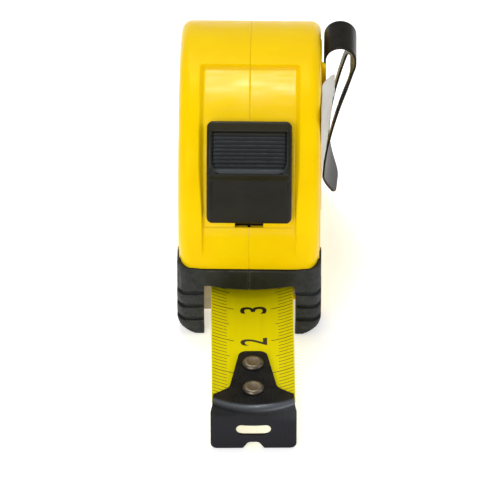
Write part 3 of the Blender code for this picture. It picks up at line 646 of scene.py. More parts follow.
def channel_depth(y, z, x):
    """How far the thumb lock's channel is sunk below the case surface."""
    if y > 0.0:
        return 0.0
    wide = (0.30 + 0.65 * smooth_mm(27.0, 38.0, z)) * MM
    across = 1.0 - smooth_step(CHANNEL_HALF - 0.15 * MM, CHANNEL_HALF + wide, abs(x))
    if across == 0.0:
        return 0.0
    if z < AXIS_Z:
        step = smooth_step(CHANNEL_STEP_Z - 0.14 * MM, CHANNEL_STEP_Z + 0.14 * MM, z)
        fade = (z - CHANNEL_END_Z) / (CHANNEL_STEP_Z - CHANNEL_END_Z)
        along = 0.80 * min(1.0, max(0.0, fade)) ** 0.7 * (1.0 - step) + step
    else:
        angle = degrees(atan2(z - AXIS_Z, -y))
        wall = degrees(0.22 * MM / CASE_RADIUS)
        along = 1.0 - smooth_step(CHANNEL_TOP_DEG - wall, CHANNEL_TOP_DEG + wall, angle)
    return CHANNEL_DEPTH * along * across


def skin_columns():
    """Distances from the seam across the wall, closer where the surface turns."""
    edge = CHANNEL_HALF
    values = [SEAM, 0.05 * MM, 0.10 * MM, 0.2 * MM, 0.4 * MM, 0.9 * MM, 1.8 * MM, SLOT_HALF]
    values += spread(3.4 * MM, edge - 0.4 * MM, 7)
    values += spread(edge - 0.16 * MM, edge + 1.02 * MM, 14)
    values += [MOUTH_HALF]
    values += spread(edge + 1.1 * MM, CASE_HALF - RIM, 3)
    return merged(values, 0.03 * MM)


def case_skin(name, side):
    """Outer skin of one half: wall, rounded rim and a side face sunk for its panel."""
    stations = case_stations()
    columns = skin_columns()
    edit = bmesh.new()
    rows = []
    for y, z, normal_y, normal_z in stations:
        row = []

        def put(x, drop):
            row.append(edit.verts.new((side * x, y - normal_y * drop, z - normal_z * drop)))

        for x in columns:
            seam_round = 0.07 * MM * (1.0 - smooth_step(SEAM, 0.14 * MM, x))
            put(x, channel_depth(y, z, x) + seam_round)
        taper = 0.38 * MM * (1.0 - smooth_step(BUMPER_HIGH.z, 23.0 * MM, z))
        taper *= smooth_mm(12.0, 20.0, -y)
        for angle in spread(0.0, pi / 2.0, 8)[1:]:
            put(CASE_HALF - taper - RIM + RIM * sin(angle), RIM * (1.0 - cos(angle)))
        inner = PANEL_EDGE + 0.2 * MM
        put(CASE_HALF, PANEL_EDGE - 0.1 * MM)
        put(CASE_HALF - 0.06 * MM, PANEL_EDGE)
        put(CASE_HALF - 0.35 * MM, PANEL_EDGE + 0.1 * MM)
        put(CASE_HALF - PANEL_SINK, inner)
        for share in (0.85, 0.6, 0.3):
            row.append(edit.verts.new((
                side * (CASE_HALF - PANEL_SINK), (y - normal_y * inner) * share,
                AXIS_Z + (z - normal_z * inner - AXIS_Z) * share)))
        rows.append(row)
    grid_faces(edit, rows, close_rows=True)
    fan(edit, [row[-1] for row in rows], (side * (CASE_HALF - PANEL_SINK), 0.0, AXIS_Z))
    cut_skin(edit)
    face_outwards(edit)
    probe = max(edit.faces, key=lambda f: f.calc_center_median().z)
    if probe.normal.z < 0.0:
        bmesh.ops.reverse_faces(edit, faces=edit.faces)
    obj = from_bmesh(name, edit)
    shell = obj.modifiers.new("shell", "SOLIDIFY")
    shell.thickness = SKIN
    shell.offset = -1.0
    return bake_modifiers(obj, 40.0)


def cut_skin(edit):
    """Open the skin for the bumper, the mouth and the lock's slot."""
    for edge, across in (((0, SEAT_Y, 0), (0, 1, 0)), ((0, 0, SEAT_Z), (0, 0, 1))):
        flank = [f for f in edit.faces if abs(f.calc_center_median().x) > CASE_HALF - FLANK_DEPTH]
        verts = {v for f in flank for v in f.verts}
        edges = {e for f in flank for e in f.edges}
        bmesh.ops.bisect_plane(
            edit, geom=[*verts, *edges, *flank], dist=1e-7, plane_co=edge, plane_no=across)
    gone = []
    for face in edit.faces:
        centre = face.calc_center_median()
        in_seat = centre.y < SEAT_Y and centre.z < SEAT_Z
        in_mouth = abs(centre.x) < MOUTH_HALF and centre.z < 1.0 * MM and centre.y < MOUTH_BACK
        angle = degrees(atan2(centre.z - AXIS_Z, -centre.y))
        in_slot = abs(centre.x) < SLOT_HALF and SLOT_DEG[0] < angle < SLOT_DEG[1]
        if in_seat or in_mouth or (in_slot and centre.y < 0.0):
            gone.append(face)
    bmesh.ops.delete(edit, geom=gone, context="FACES")


def side_panel(name, side):
    """Raised panel on a side face, with round-edged holes where screws go in."""
    radius = CASE_RADIUS - PANEL_INSET
    over = arc(0.0, AXIS_Z, radius, 0.0, 172.0, 64)
    foot = BUMPER_HIGH.z + 1.6 * MM
    shelf = BUMPER_HIGH.y + 1.6 * MM
    lower = fillet([
        (-radius, AXIS_Z, 0.0),
        (-radius, foot, 1.2 * MM),
        (shelf, foot, 1.6 * MM),
        (shelf, PANEL_INSET, 1.2 * MM),
        (radius, PANEL_INSET, BACK_CORNER - 2.0 * MM),
        (radius, AXIS_Z - MM, 0.0),
    ], 8)
    solid = outline_solid(
        name, [over + lower], CASE_HALF - 0.45 * MM, CASE_HALF + 0.15 * MM, SIDE, 0.2 * MM)
    if side < 0:
        solid.data.transform(Matrix.Scale(-1.0, 4, (1, 0, 0)))
        solid.data.flip_normals()
        for index in range(1, 5):
            low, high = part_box(f"case_screw_{index}")
            middle = (low + high) / 2.0
            hole = turned(
                f"screw_hole_{index}", in_mm([(0, -1), (2.25, -1), (2.25, 1), (0, 1)]),
                placing((-CASE_HALF, middle.y, middle.z), radians(90.0), "Y"), 48)
            cut_out(solid, hole)
    return solid


for side, side_name in ((-1, "left"), (1, "right")):
    skin = case_skin(f"case_{side_name}_shell", side)
    dress(skin, "case", "case_yellow", CASE_LOOK, f"case_{side_name}")
    dress(side_panel(f"side_panel_{side_name}", side), "case", "case_yellow", CASE_LOOK)


# -------- bumper and stop
GROOVES = (3.8 * MM, 6.8 * MM, 9.8 * MM)
RUBBER_VOXEL = 0.13 * MM
RUBBER_ROUNDS = 9
BAND_BULGE = 0.26 * MM
LIP_SAG = 0.8 * MM
LIP_HALF = 7.6 * MM
CHEEK_PULL = 0.24 * MM
FOOT_TUCK = 1.1 * MM


def bumper_shape(x, y, z):
    """Swell the bands between the grooves, sag the mouth lip and close up the middle seam."""
    pitch = GROOVES[1] - GROOVES[0]
    across = abs(x)
    if z < GROOVES[2] + 0.4 * MM:
        swell = BAND_BULGE * abs(sin(pi * (z - GROOVES[0] - 0.4 * MM) / pitch)) ** 0.8
        swell *= smooth_mm(0.4, 2.2, z)
        across += 0.15 * swell * smooth_mm(12.4, 13.3, across)
        foot = max(0.0, 1.0 - z / (3.4 * MM)) ** 2
        across -= FOOT_TUCK * foot * smooth_mm(8.0, 13.3, across)
        front = smooth_mm(-24.4, -25.2, y)
        y -= swell * front * smooth_mm(8.9, 10.2, across)
    if x < 0.0 and z < MOUTH_TOP + 0.5 * MM:
        across -= CHEEK_PULL * (1.0 - smooth_mm(9.0, 10.2, across))
    if across < LIP_HALF:
        share = 1.0 - (across / LIP_HALF) ** 2
        z -= LIP_SAG * share * (1.0 - smooth_step(MOUTH_TOP, BUMPER_HIGH.z - 0.8 * MM, z))
    if across < 1.2 * MM:
        across -= 0.19 * MM * (1.0 - across / (1.2 * MM))
    rise = 0.35 * smooth_mm(7.5, 11.2, across)
    rise += 0.55 * smooth_mm(11.2, 13.2, across)
    z += rise * MM * smooth_step(BUMPER_HIGH.z - 1.6 * MM, BUMPER_HIGH.z, z)
    return (copysign(max(across, SEAM), x), y, z)


def stop_shape(x, y, z):
    """Widen the stop block on the left and shorten it on the right."""
    left = 0.45 * MM * smooth_mm(7.0, 8.0, -x)
    right = 0.75 * MM * smooth_mm(7.0, 8.0, x)
    return (x - left - right, y, z)


for side_name in ("left", "right"):
    bumper = copy_of(f"bumper_{side_name}", f"bumper_{side_name}_rubber")
    soften(bumper, RUBBER_VOXEL, RUBBER_ROUNDS)
    reshape(bumper, bumper_shape)
    dress(bumper, "case", "bumper_rubber", RUBBER_LOOK, f"bumper_{side_name}")

stop = soften(copy_of("hook_stop", "stop_block"), 0.16 * MM, 5)
reshape(stop, stop_shape)
dress(stop, "case", "stop_ivory", STOP_LOOK, "hook_stop")


# -------- thumb lock
PAD_RADIUS = 25.75 * MM
HOLLOW_RADIUS = 25.3 * MM
BAND_RADIUS = 26.45 * MM
LIP_RADIUS = 27.05 * MM
RIB_BASE = 26.1 * MM
RIB_RISE = 0.22 * MM
RIB_COUNT = 9
RIB_DEG = (27.9, 42.6)
LIP_DEG = 25.6
STEP_DEG = 21.6
RIM_START = 6.75 * MM
LOCK_HALF = 8.0 * MM
LOCK_CORNER = 1.2 * MM
LOCK_ROUND = 0.62 * MM
ROUND_STEPS = (0.0, 0.03, 0.07, 0.12, 0.19, 0.28, 0.38, 0.5, 0.62)
RIM_STEPS = (1.5, 1.7, 1.9, 2.1, 2.3, 2.5, 2.7, 2.9)


def lock_crown(angle, x):
    """Radius of the lock's outer face: band, framed ribs, lip, hollow step and plain pad."""
    lower, upper = RIB_DEG
    across = abs(x)
    bow = 1.0 - (x / LOCK_HALF) ** 2
    band = BAND_RADIUS + 0.06 * MM * bow
    if angle < LIP_DEG:
        share = (LIP_DEG - angle) / (LIP_DEG - LOCK_DEG[0])
        pad = HOLLOW_RADIUS + (PAD_RADIUS - HOLLOW_RADIUS) * smooth_step(0.05, 0.75, share)
        side = 0.6 * smooth_mm(6.9, 7.8, across) * smooth_step(5.0, 15.0, angle)
        pad += (BAND_RADIUS - 0.15 * MM - pad) * side
        lip = RIB_BASE + 0.30 * MM
        drop = smooth_step(STEP_DEG, LIP_DEG, angle)
        return pad + (lip - pad) * drop
    share = min(1.0, max(0.0, (angle - LIP_DEG) / (lower + 3.6 - LIP_DEG)))
    start = RIM_START - 1.9 * MM * round_drop(1.0, share)
    groove = 0.16 * MM * exp(-((across - start - 0.12 * MM) / (0.14 * MM)) ** 2)
    rim = smooth_step(start + 0.1 * MM, start + 0.45 * MM, across)
    if angle >= upper:
        ease = smooth_step(upper, upper + 0.8, angle)
        return RIB_BASE + (band - RIB_BASE) * max(ease, rim) - groove * (1.0 - ease)
    if angle >= lower:
        turn = tau * RIB_COUNT * (angle - lower) / (upper - lower)
        rib = RIB_BASE + RIB_RISE * (0.5 - 0.5 * cos(turn)) ** 0.6
        return rib + (band - rib) * rim - groove
    ease = sin(pi * (angle - LIP_DEG) / (lower - LIP_DEG)) ** 0.5
    crown = RIB_BASE + 0.30 * MM * (lower - angle) / (lower - LIP_DEG)
    crown += (LIP_RADIUS - RIB_BASE - 0.15 * MM) * ease
    side = band - 0.2 * MM * (lower - angle) / (lower - LIP_DEG)
    return crown + (side - crown) * rim - groove


def lock_cover(name):
    """Curved cover, its grid closest round the edges and over the ribs."""
    low, high = LOCK_DEG
    half = LOCK_HALF
    length = radians(high - low) * BAND_RADIUS
    ends = [*ROUND_STEPS, 0.85, 1.1, 1.4]
    rows = both_ends(0.0, 1.0, [share * MM / length for share in ends])
    stops = ((8.0, 20), (STEP_DEG, 26), (RIB_DEG[0], 128), (RIB_DEG[1], 12), (46.0, 0))
    for (start, count), (end, _) in zip(stops, stops[1:]):
        rows += spread((start - low) / (high - low), (end - low) / (high - low), count)
    rows = merged(rows, 0.0006)
    side = [*ROUND_STEPS, 0.72, 0.82, 0.92, 1.02, 1.12, 1.22, 1.35, *RIM_STEPS]
    columns = both_ends(-1.0, 1.0, [share * MM / half for share in side])
    columns = merged(columns + spread(-0.72, 0.72, 16), 0.002)

    def point(u, v, over):
        angle = low + (high - low) * v
        end = min(v, 1.0 - v) * length
        x = u * (half - round_drop(LOCK_CORNER, end))
        if over:
            border = min(end, half * (1.0 - abs(u)))
            radius = lock_crown(angle, u * half) - round_drop(LOCK_ROUND, border)
        else:
            radius = LOCK_INNER
        turn = radians(angle)
        return (x, -radius * cos(turn), AXIS_Z + radius * sin(turn))

    return thin_solid(name, point, columns, rows, 50.0)


dress(lock_cover("thumb_lock_cover"), "lock", "lock_black", LOCK_LOOK, "thumb_lock")
stem_outline = in_mm([(-2.3, -1.2, 0.4), (2.3, -1.2, 0.4), (2.3, 1.2, 0.4), (-2.3, 1.2, 0.4)])
stem = outline_solid(
    "thumb_lock_stem", [fillet(stem_outline)], 21.5 * MM, LOCK_INNER + 0.1 * MM)
stem.data.transform(
    placing((0, 0, AXIS_Z), radians(8.0), (-1, 0, 0))
    @ Matrix.Rotation(radians(90.0), 4, "X"))
dress(stem, "lock", "lock_inner", INNER_LOOK)


# -------- blade
BLADE_YAW = atan2(-JOINTS["blade_retract"]["axis"][0], JOINTS["blade_retract"]["axis"][1])
BLADE_PIVOT = Vector((0.45 * MM, -19.2 * MM, 0.0))
RUN_OUT = placing(BLADE_PIVOT, BLADE_YAW, "Z") @ Matrix.Translation(-BLADE_PIVOT)
BLADE_X = BLADE_PIVOT.x
BLADE_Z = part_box("blade_tip")[0].z
BLADE_HALF = 7.8 * MM
BLADE_CURVE = 18.0 * MM
BLADE_THICK = 0.25 * MM
BLADE_ENDS = (-59.7 * MM, -18.2 * MM)
TOP_CURVE = BLADE_CURVE - BLADE_THICK
EDGE_ANGLE = asin(BLADE_HALF / BLADE_CURVE)
SCALE_ZERO = -59.1 * MM
INK_THICK = 0.012 * MM
DIGIT_X = 0.22 * MM
DIGIT_TALL = 5.05 * MM
DIGIT_WIDE = 2.3 * MM
LAST_MARK = 40


def on_blade(across, y, lift):
    """Point at an arc distance from the blade's centre line, lift above its upper face."""
    angle = across / TOP_CURVE
    radius = TOP_CURVE - lift
    return Vector((
        BLADE_X + radius * sin(angle), y, BLADE_Z + BLADE_CURVE - radius * cos(angle)))


def blade_strip(name):
    columns = spread(-EDGE_ANGLE * TOP_CURVE, EDGE_ANGLE * TOP_CURVE, 48)
    rows = spread(*BLADE_ENDS, 60)

    def point(across, y, over):
        return on_blade(across, y, 0.0 if over else -BLADE_THICK)

    strip = thin_solid(name, point, columns, rows)
    strip.data.transform(RUN_OUT)
    return strip


def lay_on_blade(name, edit):
    """Wrap flat ink (across, along, thickness) on to the blade's upper face."""
    for vertex in edit.verts:
        vertex.co = on_blade(vertex.co.x, vertex.co.y, vertex.co.z)
    face_outwards(edit)
    edit.transform(RUN_OUT)
    return from_bmesh(name, edit, 30.0)


def scale_marks(name):
    """Millimetre marks from both edges, longer at each five and at each centimetre."""
    edit = bmesh.new()
    edge = EDGE_ANGLE * TOP_CURVE - 0.12 * MM
    for count in range(2, LAST_MARK + 1):
        y = SCALE_ZERO + count * MM
        length, width = 2.9 * MM, 0.15 * MM
        if count % 10 == 0:
            length, width = 4.3 * MM, 0.20 * MM
        elif count % 5 == 0:
            length, width = 3.4 * MM, 0.16 * MM
        for side in (-1, 1):
            reach = spread(edge - length, edge, 8)
            block = []
            for lift in (0.002 * MM, INK_THICK):
                for end in (-1, 1):
                    block.append([
                        edit.verts.new((side * r, y + end * width / 2.0, lift)) for r in reach])
            order = (block[0], block[1], block[3], block[2])
            grid_faces(edit, order, close_rows=True)
            for last in (0, -1):
                edit.faces.new([row[last] for row in order])
    return lay_on_blade(name, edit)


def scale_digit(name, text, distance):
    """One bold numeral lying across the blade on its centimetre line."""
    curve = bpy.data.curves.new(name, "FONT")
    curve.body = text
    curve.size = 1.0
    curve.align_x = "CENTER"
    curve.offset = 0.010
    curve.extrude = 0.5
    curve.resolution_u = 6
    edit = curve_to_bmesh(curve, 1e-5)
    left, *_, right = sorted(v.co.x for v in edit.verts)
    foot, *_, top = sorted(v.co.y for v in edit.verts)
    for vertex in edit.verts:
        along = (vertex.co.x - (right + left) / 2.0) / (right - left) * DIGIT_WIDE
        up = (vertex.co.y - (top + foot) / 2.0) / (top - foot) * DIGIT_TALL
        vertex.co = (
            DIGIT_X - up, SCALE_ZERO + distance + along, (vertex.co.z + 0.5) * INK_THICK)
    for cut in spread(DIGIT_X - DIGIT_TALL / 2.0, DIGIT_X + DIGIT_TALL / 2.0, 14)[1:-1]:
        bmesh.ops.bisect_plane(
            edit, geom=edit.verts[:] + edit.edges[:] + edit.faces[:], dist=1e-8,
            plane_co=(cut, 0, 0), plane_no=(1, 0, 0))
    return lay_on_blade(name, edit)


dress(blade_strip("blade_strip"), "blade", "blade_yellow", BLADE_LOOK, "blade_tip")
dress(scale_marks("scale_marks"), "blade", "blade_yellow", TICK_LOOK)
for number in range(1, LAST_MARK // 10 + 1):
    digit = scale_digit(f"scale_number_{number}", str(number), number * 10 * MM)
    dress(digit, "blade", "blade_yellow", DIGIT_LOOK)


# -------- end hook and rivets
HOOK_FRONT = -60.9 * MM
HOOK_SHEET = 0.65 * MM
HOOK_UNDER = BLADE_Z + BLADE_THICK + 0.15 * MM
HOOK_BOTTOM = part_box("end_hook")[0].z
HOOK_LENGTH = 18.1 * MM
HOOK_HALF = 8.02 * MM
HOOK_VOXEL = 0.10 * MM
HOOK_CURVE = TOP_CURVE - 0.15 * MM
BEND_INNER = 0.85 * MM
BEND_MIDDLE = BEND_INNER + 0.3 * MM
BEND_LENGTH = BEND_MIDDLE * pi / 2.0
HOOK_SEAT = HOOK_FRONT + BEND_INNER + HOOK_SHEET
RIVET_BACK = (6.1 * MM, 13.8 * MM)
HOOK_FLOAT = JOINTS["hook_float"]["range_m"][1]


def flat_hook_y(y):
    """Distance along the unbent sheet of a place y on the tongue."""
    return (y - HOOK_SEAT) + BEND_LENGTH / 2.0


def flat_hook_z(z):
    """Distance along the unbent sheet of a height z on the lip."""
    return -((HOOK_UNDER - BEND_INNER - z) + BEND_LENGTH / 2.0)


def hook_outline():
    """Unbent sheet: wide lip with a notch in its foot, and a tongue tapering to its end."""
    end = flat_hook_y(HOOK_FRONT + HOOK_LENGTH)
    foot = flat_hook_z(HOOK_BOTTOM)
    right = [
        (HOOK_HALF, foot, 1.15 * MM),
        (HOOK_HALF, -2.0 * MM, 1.6 * MM),
        (7.72 * MM, -0.6 * MM, 1.5 * MM),
        (7.5 * MM, flat_hook_y(HOOK_FRONT + 2.7 * MM), 0.8 * MM),
        (4.45 * MM, flat_hook_y(HOOK_FRONT + 6.3 * MM), 3.2 * MM),
        (2.5 * MM, end, 1.9 * MM),
    ]
    left = [(-x, d, radius) for x, d, radius in right[::-1]]
    notch = [
        (-1.95 * MM, foot, 0.3 * MM),
        (-0.95 * MM, foot + 1.4 * MM, 0.9 * MM),
        (0.95 * MM, foot + 1.4 * MM, 0.9 * MM),
        (1.95 * MM, foot, 0.3 * MM),
    ]
    return fillet(right + left + notch, 10)


def hook_holes():
    """The nail slot in the lip and the rivet slots, longer than the rivets by the float."""
    slot_d = flat_hook_z(HOOK_BOTTOM + 4.15 * MM)
    slot_shape = arc(2.2 * MM, slot_d, 1.05 * MM, -90.0, 90.0, 12)
    slot_shape += arc(-2.2 * MM, slot_d, 1.05 * MM, 90.0, 270.0, 12)
    holes = [slot_shape]
    for distance in RIVET_BACK:
        near = flat_hook_y(HOOK_FRONT + distance)
        hole = arc(0.0, near + HOOK_FLOAT, 1.1 * MM, 0.0, 180.0, 12)
        hole += arc(0.0, near, 1.1 * MM, 180.0, 360.0, 12)
        holes.append(hole)
    return holes


def bent(x, d, h):
    """Fold the flat sheet: tongue bowed like the blade, a tight bend, then the flat lip."""
    bow = HOOK_CURVE - sqrt(HOOK_CURVE ** 2 - x * x)
    if d > BEND_LENGTH / 2.0:
        y = HOOK_SEAT + (d - BEND_LENGTH / 2.0)
        z = HOOK_UNDER + h + bow
    elif d > -BEND_LENGTH / 2.0:
        turn = (BEND_LENGTH / 2.0 - d) / BEND_MIDDLE
        radius = BEND_INNER + h
        y = HOOK_SEAT - radius * sin(turn)
        z = HOOK_UNDER - BEND_INNER + radius * cos(turn) + bow
    else:
        down = -d - BEND_LENGTH / 2.0
        y = HOOK_SEAT - BEND_INNER - h
        z = HOOK_UNDER - BEND_INNER - down + bow * (1.0 - smooth_step(0.0, 6.5 * MM, down))
    return (BLADE_X + x, y, z)


hook = outline_solid("hook_sheet", [hook_outline(), *hook_holes()], 0.0, HOOK_SHEET)
soften(hook, HOOK_VOXEL, 5)
reshape(hook, bent)
hook.data.transform(RUN_OUT)
hook.data.shade_smooth()
dress(hook, "hook", "hook_black", HOOK_LOOK, "end_hook")

RIVET_HEAD = (
    (0.0, 0.72), (0.9, 0.73), (1.15, 0.77), (1.4, 0.79), (1.65, 0.74), (1.86, 0.60),
    (2.0, 0.40), (2.05, 0.18), (2.0, 0.0), (1.9, -0.03), (0.9, -0.04))
RIVET_TAIL = ((0.9, 0.0), (1.6, 0.0), (1.65, -0.1), (1.55, -0.35), (1.2, -0.42), (0.0, -0.45))

for place, distance in zip(("front", "rear"), RIVET_BACK):
    seat = HOOK_UNDER + HOOK_SHEET + 0.06 * MM
    tail = BLADE_Z - 0.02 * MM
    profile = raised(RIVET_HEAD, seat) + raised(RIVET_TAIL, tail)
    rivet = turned(
        f"rivet_head_{place}", profile,
        RUN_OUT @ Matrix.Translation((BLADE_X, HOOK_FRONT + distance, 0.0)))
    dress(rivet, "blade", "rivet_metal", RIVET_LOOK, f"rivet_{place}")


# -------- belt clip
boss_outline = in_mm([(13.2, 33.0, 0.1), (14.3, 33.6, 0.4), (14.3, 45.6, 0.5), (13.2, 46.4, 0.1)])
boss = outline_solid("clip_boss", [fillet(boss_outline)], 0.4 * MM, 1.7 * MM, FRONT, 0.1 * MM)
dress(boss, "case", "case_yellow", CASE_LOOK)

SHEET = 0.42 * MM
SHEET_VOXEL = 0.12 * MM
CLIP_PLATE_X = 14.05 * MM
CLIP_LEG_X = 19.85 * MM
CLIP_ARCH_Z = 46.0 * MM
CLIP_ARCH_Y = (0.0, 9.2 * MM)
CLIP_FRONT = -1.2 * MM
CLIP_DEPTH = 15.2 * MM
CLIP_SPLIT_Z = 44.6 * MM
CLIP_PINCH = (14.4 * MM, 19.8 * MM)
CLIP_TWIST = 0.5 * MM
CLIP_FLARE = 2.2 * MM
CLIP_FOOT = 14.1 * MM


class Path:
    """A smooth line in X and Z with its length, for laying flat sheet along."""

    def __init__(self, corners, rounds):
        points = []
        for (ax, az), (bx, bz) in zip(corners, corners[1:]):
            count = max(1, round(dist((ax, az), (bx, bz)) / (0.12 * MM)))
            points += [
                Vector((ax + (bx - ax) * k / count, az + (bz - az) * k / count))
                for k in range(count)]
        points.append(Vector(corners[-1]))
        for _ in range(rounds):
            inner = [(a + 2.0 * b + c) / 4.0 for a, b, c in zip(points, points[1:], points[2:])]
            points = [points[0], *inner, points[-1]]
        self.points = points
        self.lengths = [0.0]
        for a, b in zip(points, points[1:]):
            self.lengths.append(self.lengths[-1] + (b - a).length)

    def at(self, distance):
        """Point and right-hand normal at a distance along the line."""
        distance = min(max(distance, 0.0), self.lengths[-1] - 1e-9)
        high = bisect_right(self.lengths, distance)
        low = high - 1
        ahead = (self.points[high] - self.points[low]).normalized()
        share = (distance - self.lengths[low]) / (self.lengths[high] - self.lengths[low])
        return self.points[low].lerp(self.points[high], share), Vector((-ahead.y, ahead.x))

    def distance_at_z(self, z):
        for point, length in zip(self.points, self.lengths):
            if point.y <= z:
                return length
        return self.lengths[-1]


def lay_along(obj, path, twist=False):
    """Soften a flat sheet (y, distance, thickness) and move it on to the line, face outwards."""
    def laid(y, distance, h):
        point, normal = path.at(distance)
        x = point.x + normal.x * (h - SHEET / 2.0)
        z = point.y + normal.y * (h - SHEET / 2.0)
        if twist:
            share = (CLIP_SPLIT_Z - z) / (CLIP_SPLIT_Z - CLIP_PINCH[1])
            lean = (y - CLIP_FRONT - CLIP_DEPTH / 2.0) / (CLIP_DEPTH / 2.0)
            x += CLIP_TWIST * min(1.0, max(0.0, share)) ** 1.5 * lean
        return (x, y, z)

    soften(obj, SHEET_VOXEL, 3)
    reshape(obj, laid)
    obj.data.shade_smooth()
    return obj


def leg_x(z):
    """The leg's place in X: out at the arch, in at the pinch, flared at the foot."""
    x, pinch = CLIP_PINCH
    if z < pinch:
        return x + CLIP_FLARE * ((pinch - z) / (pinch - CLIP_FOOT)) ** 1.5
    share = (z - pinch) / (CLIP_SPLIT_Z - pinch)
    return x + (CLIP_LEG_X - x) * share ** 1.7


def clip_arch_piece(name):
    radius = (CLIP_LEG_X - CLIP_PLATE_X) / 2.0
    over = arc(CLIP_PLATE_X + radius, CLIP_ARCH_Z, radius, 180.0, 0.0, 40)
    path = Path([(CLIP_PLATE_X, 30.0 * MM), *over], 4)
    low, high = CLIP_ARCH_Y
    end = path.lengths[-1]
    outline = fillet([
        (low, 0.0, 1.5 * MM), (high, 0.0, 1.5 * MM), (high, end, 0.0), (low, end, 0.0)])
    hole = arc(7.5 * MM, 4.5 * MM, 1.25 * MM, 0.0, 348.75, 31)
    return lay_along(outline_solid(name, [outline, hole], 0.0, SHEET), path)


def clip_leg_piece(name):
    corners = [(CLIP_LEG_X, CLIP_ARCH_Z), (CLIP_LEG_X, CLIP_SPLIT_Z)]
    corners += [(leg_x(z), z) for z in spread(CLIP_SPLIT_Z, CLIP_FOOT, 60)[1:]]
    path = Path(corners, 18)
    foot = path.lengths[-1]

    def along(height_mm):
        return path.distance_at_z(height_mm * MM)

    front = CLIP_FRONT
    back = CLIP_FRONT + CLIP_DEPTH
    outline = fillet([
        (CLIP_ARCH_Y[0], 0.0, 0.0),
        (CLIP_ARCH_Y[0], along(44.0), 3.0 * MM),
        (front, along(40.0), 3.0 * MM),
        (front, along(20.0), 2.5 * MM),
        (front + 2.6 * MM, foot, 2.2 * MM),
        (back - 5.0 * MM, foot, 4.0 * MM),
        (back, along(20.0), 5.0 * MM),
        (back, along(40.0), 5.0 * MM),
        (CLIP_ARCH_Y[1], along(44.0), 3.0 * MM),
        (CLIP_ARCH_Y[1], 0.0, 0.0),
    ], 12)
    window = fillet([
        (front + 2.4 * MM, along(42.4), 1.4 * MM),
        (front + 2.1 * MM, along(26.0), 2.0 * MM),
        (front + CLIP_DEPTH / 2.0, along(24.0), 2.0 * MM),
        (back - 2.6 * MM, along(26.0), 2.0 * MM),
        (back - 2.9 * MM, along(40.4), 2.0 * MM),
        (CLIP_ARCH_Y[1] - 2.0 * MM, along(42.4), 1.4 * MM),
    ], 12)
    return lay_along(outline_solid(name, [outline, window], 0.0, SHEET), path, twist=True)


dress(clip_arch_piece("clip_arch_sheet"), "case", "clip_black", CLIP_LOOK, "belt_clip")
leg_piece = clip_leg_piece("clip_leg_sheet")
paint(leg_piece, CLIP_LOOK)
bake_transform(leg_piece)
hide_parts("clip_leg")


# -------- label
LABEL_CORNER = 1.0 * MM
LABEL_THICK = 0.1 * MM
LABEL_LIFT = 4.6 * MM


def label_sheet(name):
    """Blank paper label, flat on the case side and lifting off along its back edge."""
    low, high = LABEL_LOW.z, LABEL_HIGH.z
    front, back = LABEL_LOW.y, LABEL_HIGH.y
    reach = LABEL_HIGH.x - LABEL_LOW.x - 0.2 * MM
    ends = [share * LABEL_CORNER for share in (0.0, 0.1, 0.3, 0.6, 1.0)]
    columns = merged(both_ends(front, back, ends) + spread(front, back, 28), 0.04 * MM)
    rows = merged(both_ends(low, high, ends) + spread(low, high, 30), 0.04 * MM)

    def point(y, z, over):
        up = (z - low) / (high - low)
        lift = reach * max(0.0, (y - back) / LABEL_LIFT + 1.0) ** 1.3 * up ** 0.7
        wave = 0.05 * MM * sin(520.0 * y) * cos(410.0 * z) * up
        cut = round_drop(LABEL_CORNER, min(y - front, back - y))
        z = min(max(z, low + cut), high - cut)
        x = LABEL_LOW.x - 0.08 * MM + lift + wave + over * LABEL_THICK
        return (x, y, z)

    return thin_solid(name, point, columns, rows)


dress(label_sheet("label_sheet"), "case", "label_paper", PAPER_LOOK, "side_label")


# -------- screws
SCREW_HEAD = (
    (0.0, 0.0), (0.6, -0.01), (1.05, -0.06), (1.4, -0.16), (1.65, -0.32), (1.77, -0.52),
    (1.8, -0.75), (1.78, -1.05), (1.7, -1.1), (0.95, -1.1))
SCREW_SHANK = 0.95 * MM
CROSS_ARM = 1.05 * MM
CROSS_HALF = 0.24 * MM


def screw_piece(name, node, out, turn):
    """Pan head screw with a cross recess on a CAD screw, its head to the out side of X."""
    low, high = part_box(node)
    middle = (low + high) / 2.0
    length = high.x - low.x
    profile = raised(SCREW_HEAD, 0.0) + [(SCREW_SHANK, -length + 0.6 * MM), (0.0, -length)]
    screw = turned(name, profile, Matrix.Identity(4), 48)
    cross = [(CROSS_ARM, -CROSS_HALF), (CROSS_ARM, CROSS_HALF), (CROSS_HALF, CROSS_HALF)]
    for _ in range(3):
        cross += [(-v, u) for u, v in cross[-3:]]
    cut_out(screw, outline_solid(name + "_recess", [cross], -0.65 * MM, 0.4 * MM))
    seat = high.x if out > 0 else low.x
    screw.data.transform(
        placing((seat, middle.y, middle.z), out * pi / 2.0, "Y")
        @ Matrix.Rotation(turn, 4, "Z"))
    dress(screw, "case", "screw_steel", SCREW_LOOK, node)


for index in range(1, 5):
    screw_piece(f"case_screw_head_{index}", f"case_screw_{index}", -1, 0.7 * index)
screw_piece("clip_screw_head", "clip_screw", 1, 0.5)


# -------- inner pieces kept as they are
KEPT = {
    "lock_tongue": INNER_LOOK,
    "lock_spring": SPRING_LOOK,
    "blade_feed": BLADE_LOOK,
    "blade_coil": BLADE_LOOK,
    "reel_drum": REEL_LOOK,
    "reel_cover": REEL_LOOK,
    "power_spring": SPRING_LOOK,
    "spring_arbor": SCREW_LOOK,
    "reel_washer_left": WASHER_LOOK,
    "reel_washer_right": WASHER_LOOK,
}
for node_name, look in KEPT.items():
    node = frame["nodes"][node_name]
    paint(node, look)
    smoothed(node.data, 30.0)


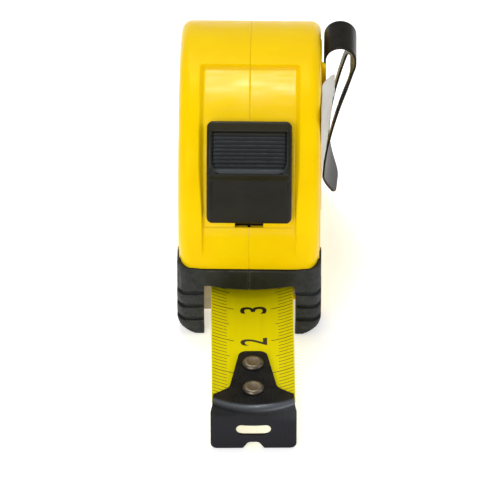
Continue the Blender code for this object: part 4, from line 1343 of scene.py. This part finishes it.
# -------- stage, light and camera
WORLD_LIGHT = 0.36
FLOOR_GLOW = 0.48
LIGHTS = {
    # name: (place, aim, size, watts)
    "overhead": ((0.0, 0.05, 0.55), (0.0, 0.0, 0.02), (0.42, 0.42), 0.25),
    "front_fill": ((-0.25, -0.60, 0.35), (0.0, -0.02, 0.02), (0.40, 0.30), 2.0),
    "gleam": ((-0.050, 0.130, 0.48), (0.0, 0.0, 0.04), (0.09, 0.32), 0.9),
    "right_rim": ((0.50, -0.10, 0.30), (0.0, 0.0, 0.03), (0.30, 0.30), 0.5),
}

CAMERA_AZIMUTH = 0.85
CAMERA_ELEVATION = 36.0
CAMERA_DISTANCE = 1.15
CAMERA_LENS = 438.0
SENSOR_WIDTH = 36.0
FLOOR_HALF = 3.0
CAMERA_TARGET = Vector((0.0002, BUMPER_LOW.y, 0.0200))


def floor_finish():
    """Plain near-white studio floor."""
    look = Finish("studio_floor", (0.93, 0.93, 0.93), 0.9)
    return look.set(
        base_color=look.patches(60, 2.0, (0.935, 0.935, 0.935), (0.925, 0.925, 0.925)),
        emission_strength=FLOOR_GLOW, emission_color=(1.0, 1.0, 1.0))


def make_floor():
    edit = bmesh.new()
    bmesh.ops.create_grid(edit, x_segments=1, y_segments=1, size=FLOOR_HALF)
    floor = from_bmesh("studio_floor", edit)
    paint(floor, floor_finish())


def make_lights():
    world = bpy.data.worlds.new("studio")
    world.use_nodes = True
    background = world.node_tree.nodes["Background"]
    background.inputs["Color"].default_value = (1.0, 1.0, 1.0, 1.0)
    background.inputs["Strength"].default_value = WORLD_LIGHT
    bpy.context.scene.world = world
    for name, (place, aim, size, power) in LIGHTS.items():
        data = bpy.data.lights.new(name, "AREA")
        data.shape = "RECTANGLE"
        data.size, data.size_y = size
        data.energy = power
        light = add_object(name, data)
        light.location = place
        light.rotation_euler = (Vector(aim) - Vector(place)).to_track_quat("-Z", "Y").to_euler()


def make_camera():
    azimuth = radians(CAMERA_AZIMUTH)
    elevation = radians(CAMERA_ELEVATION)
    back = Vector((
        sin(azimuth) * cos(elevation),
        -cos(azimuth) * cos(elevation),
        sin(elevation)))
    data = bpy.data.cameras.new("camera")
    data.lens = CAMERA_LENS
    data.sensor_width = SENSOR_WIDTH
    data.clip_start = 0.05
    data.clip_end = 10.0
    camera = add_object("camera", data)
    camera.location = CAMERA_TARGET + back * CAMERA_DISTANCE
    camera.rotation_euler = (-back).to_track_quat("-Z", "Y").to_euler()
    bpy.context.scene.camera = camera
    bpy.context.scene.view_settings.view_transform = "Standard"


make_floor()
make_lights()
make_camera()
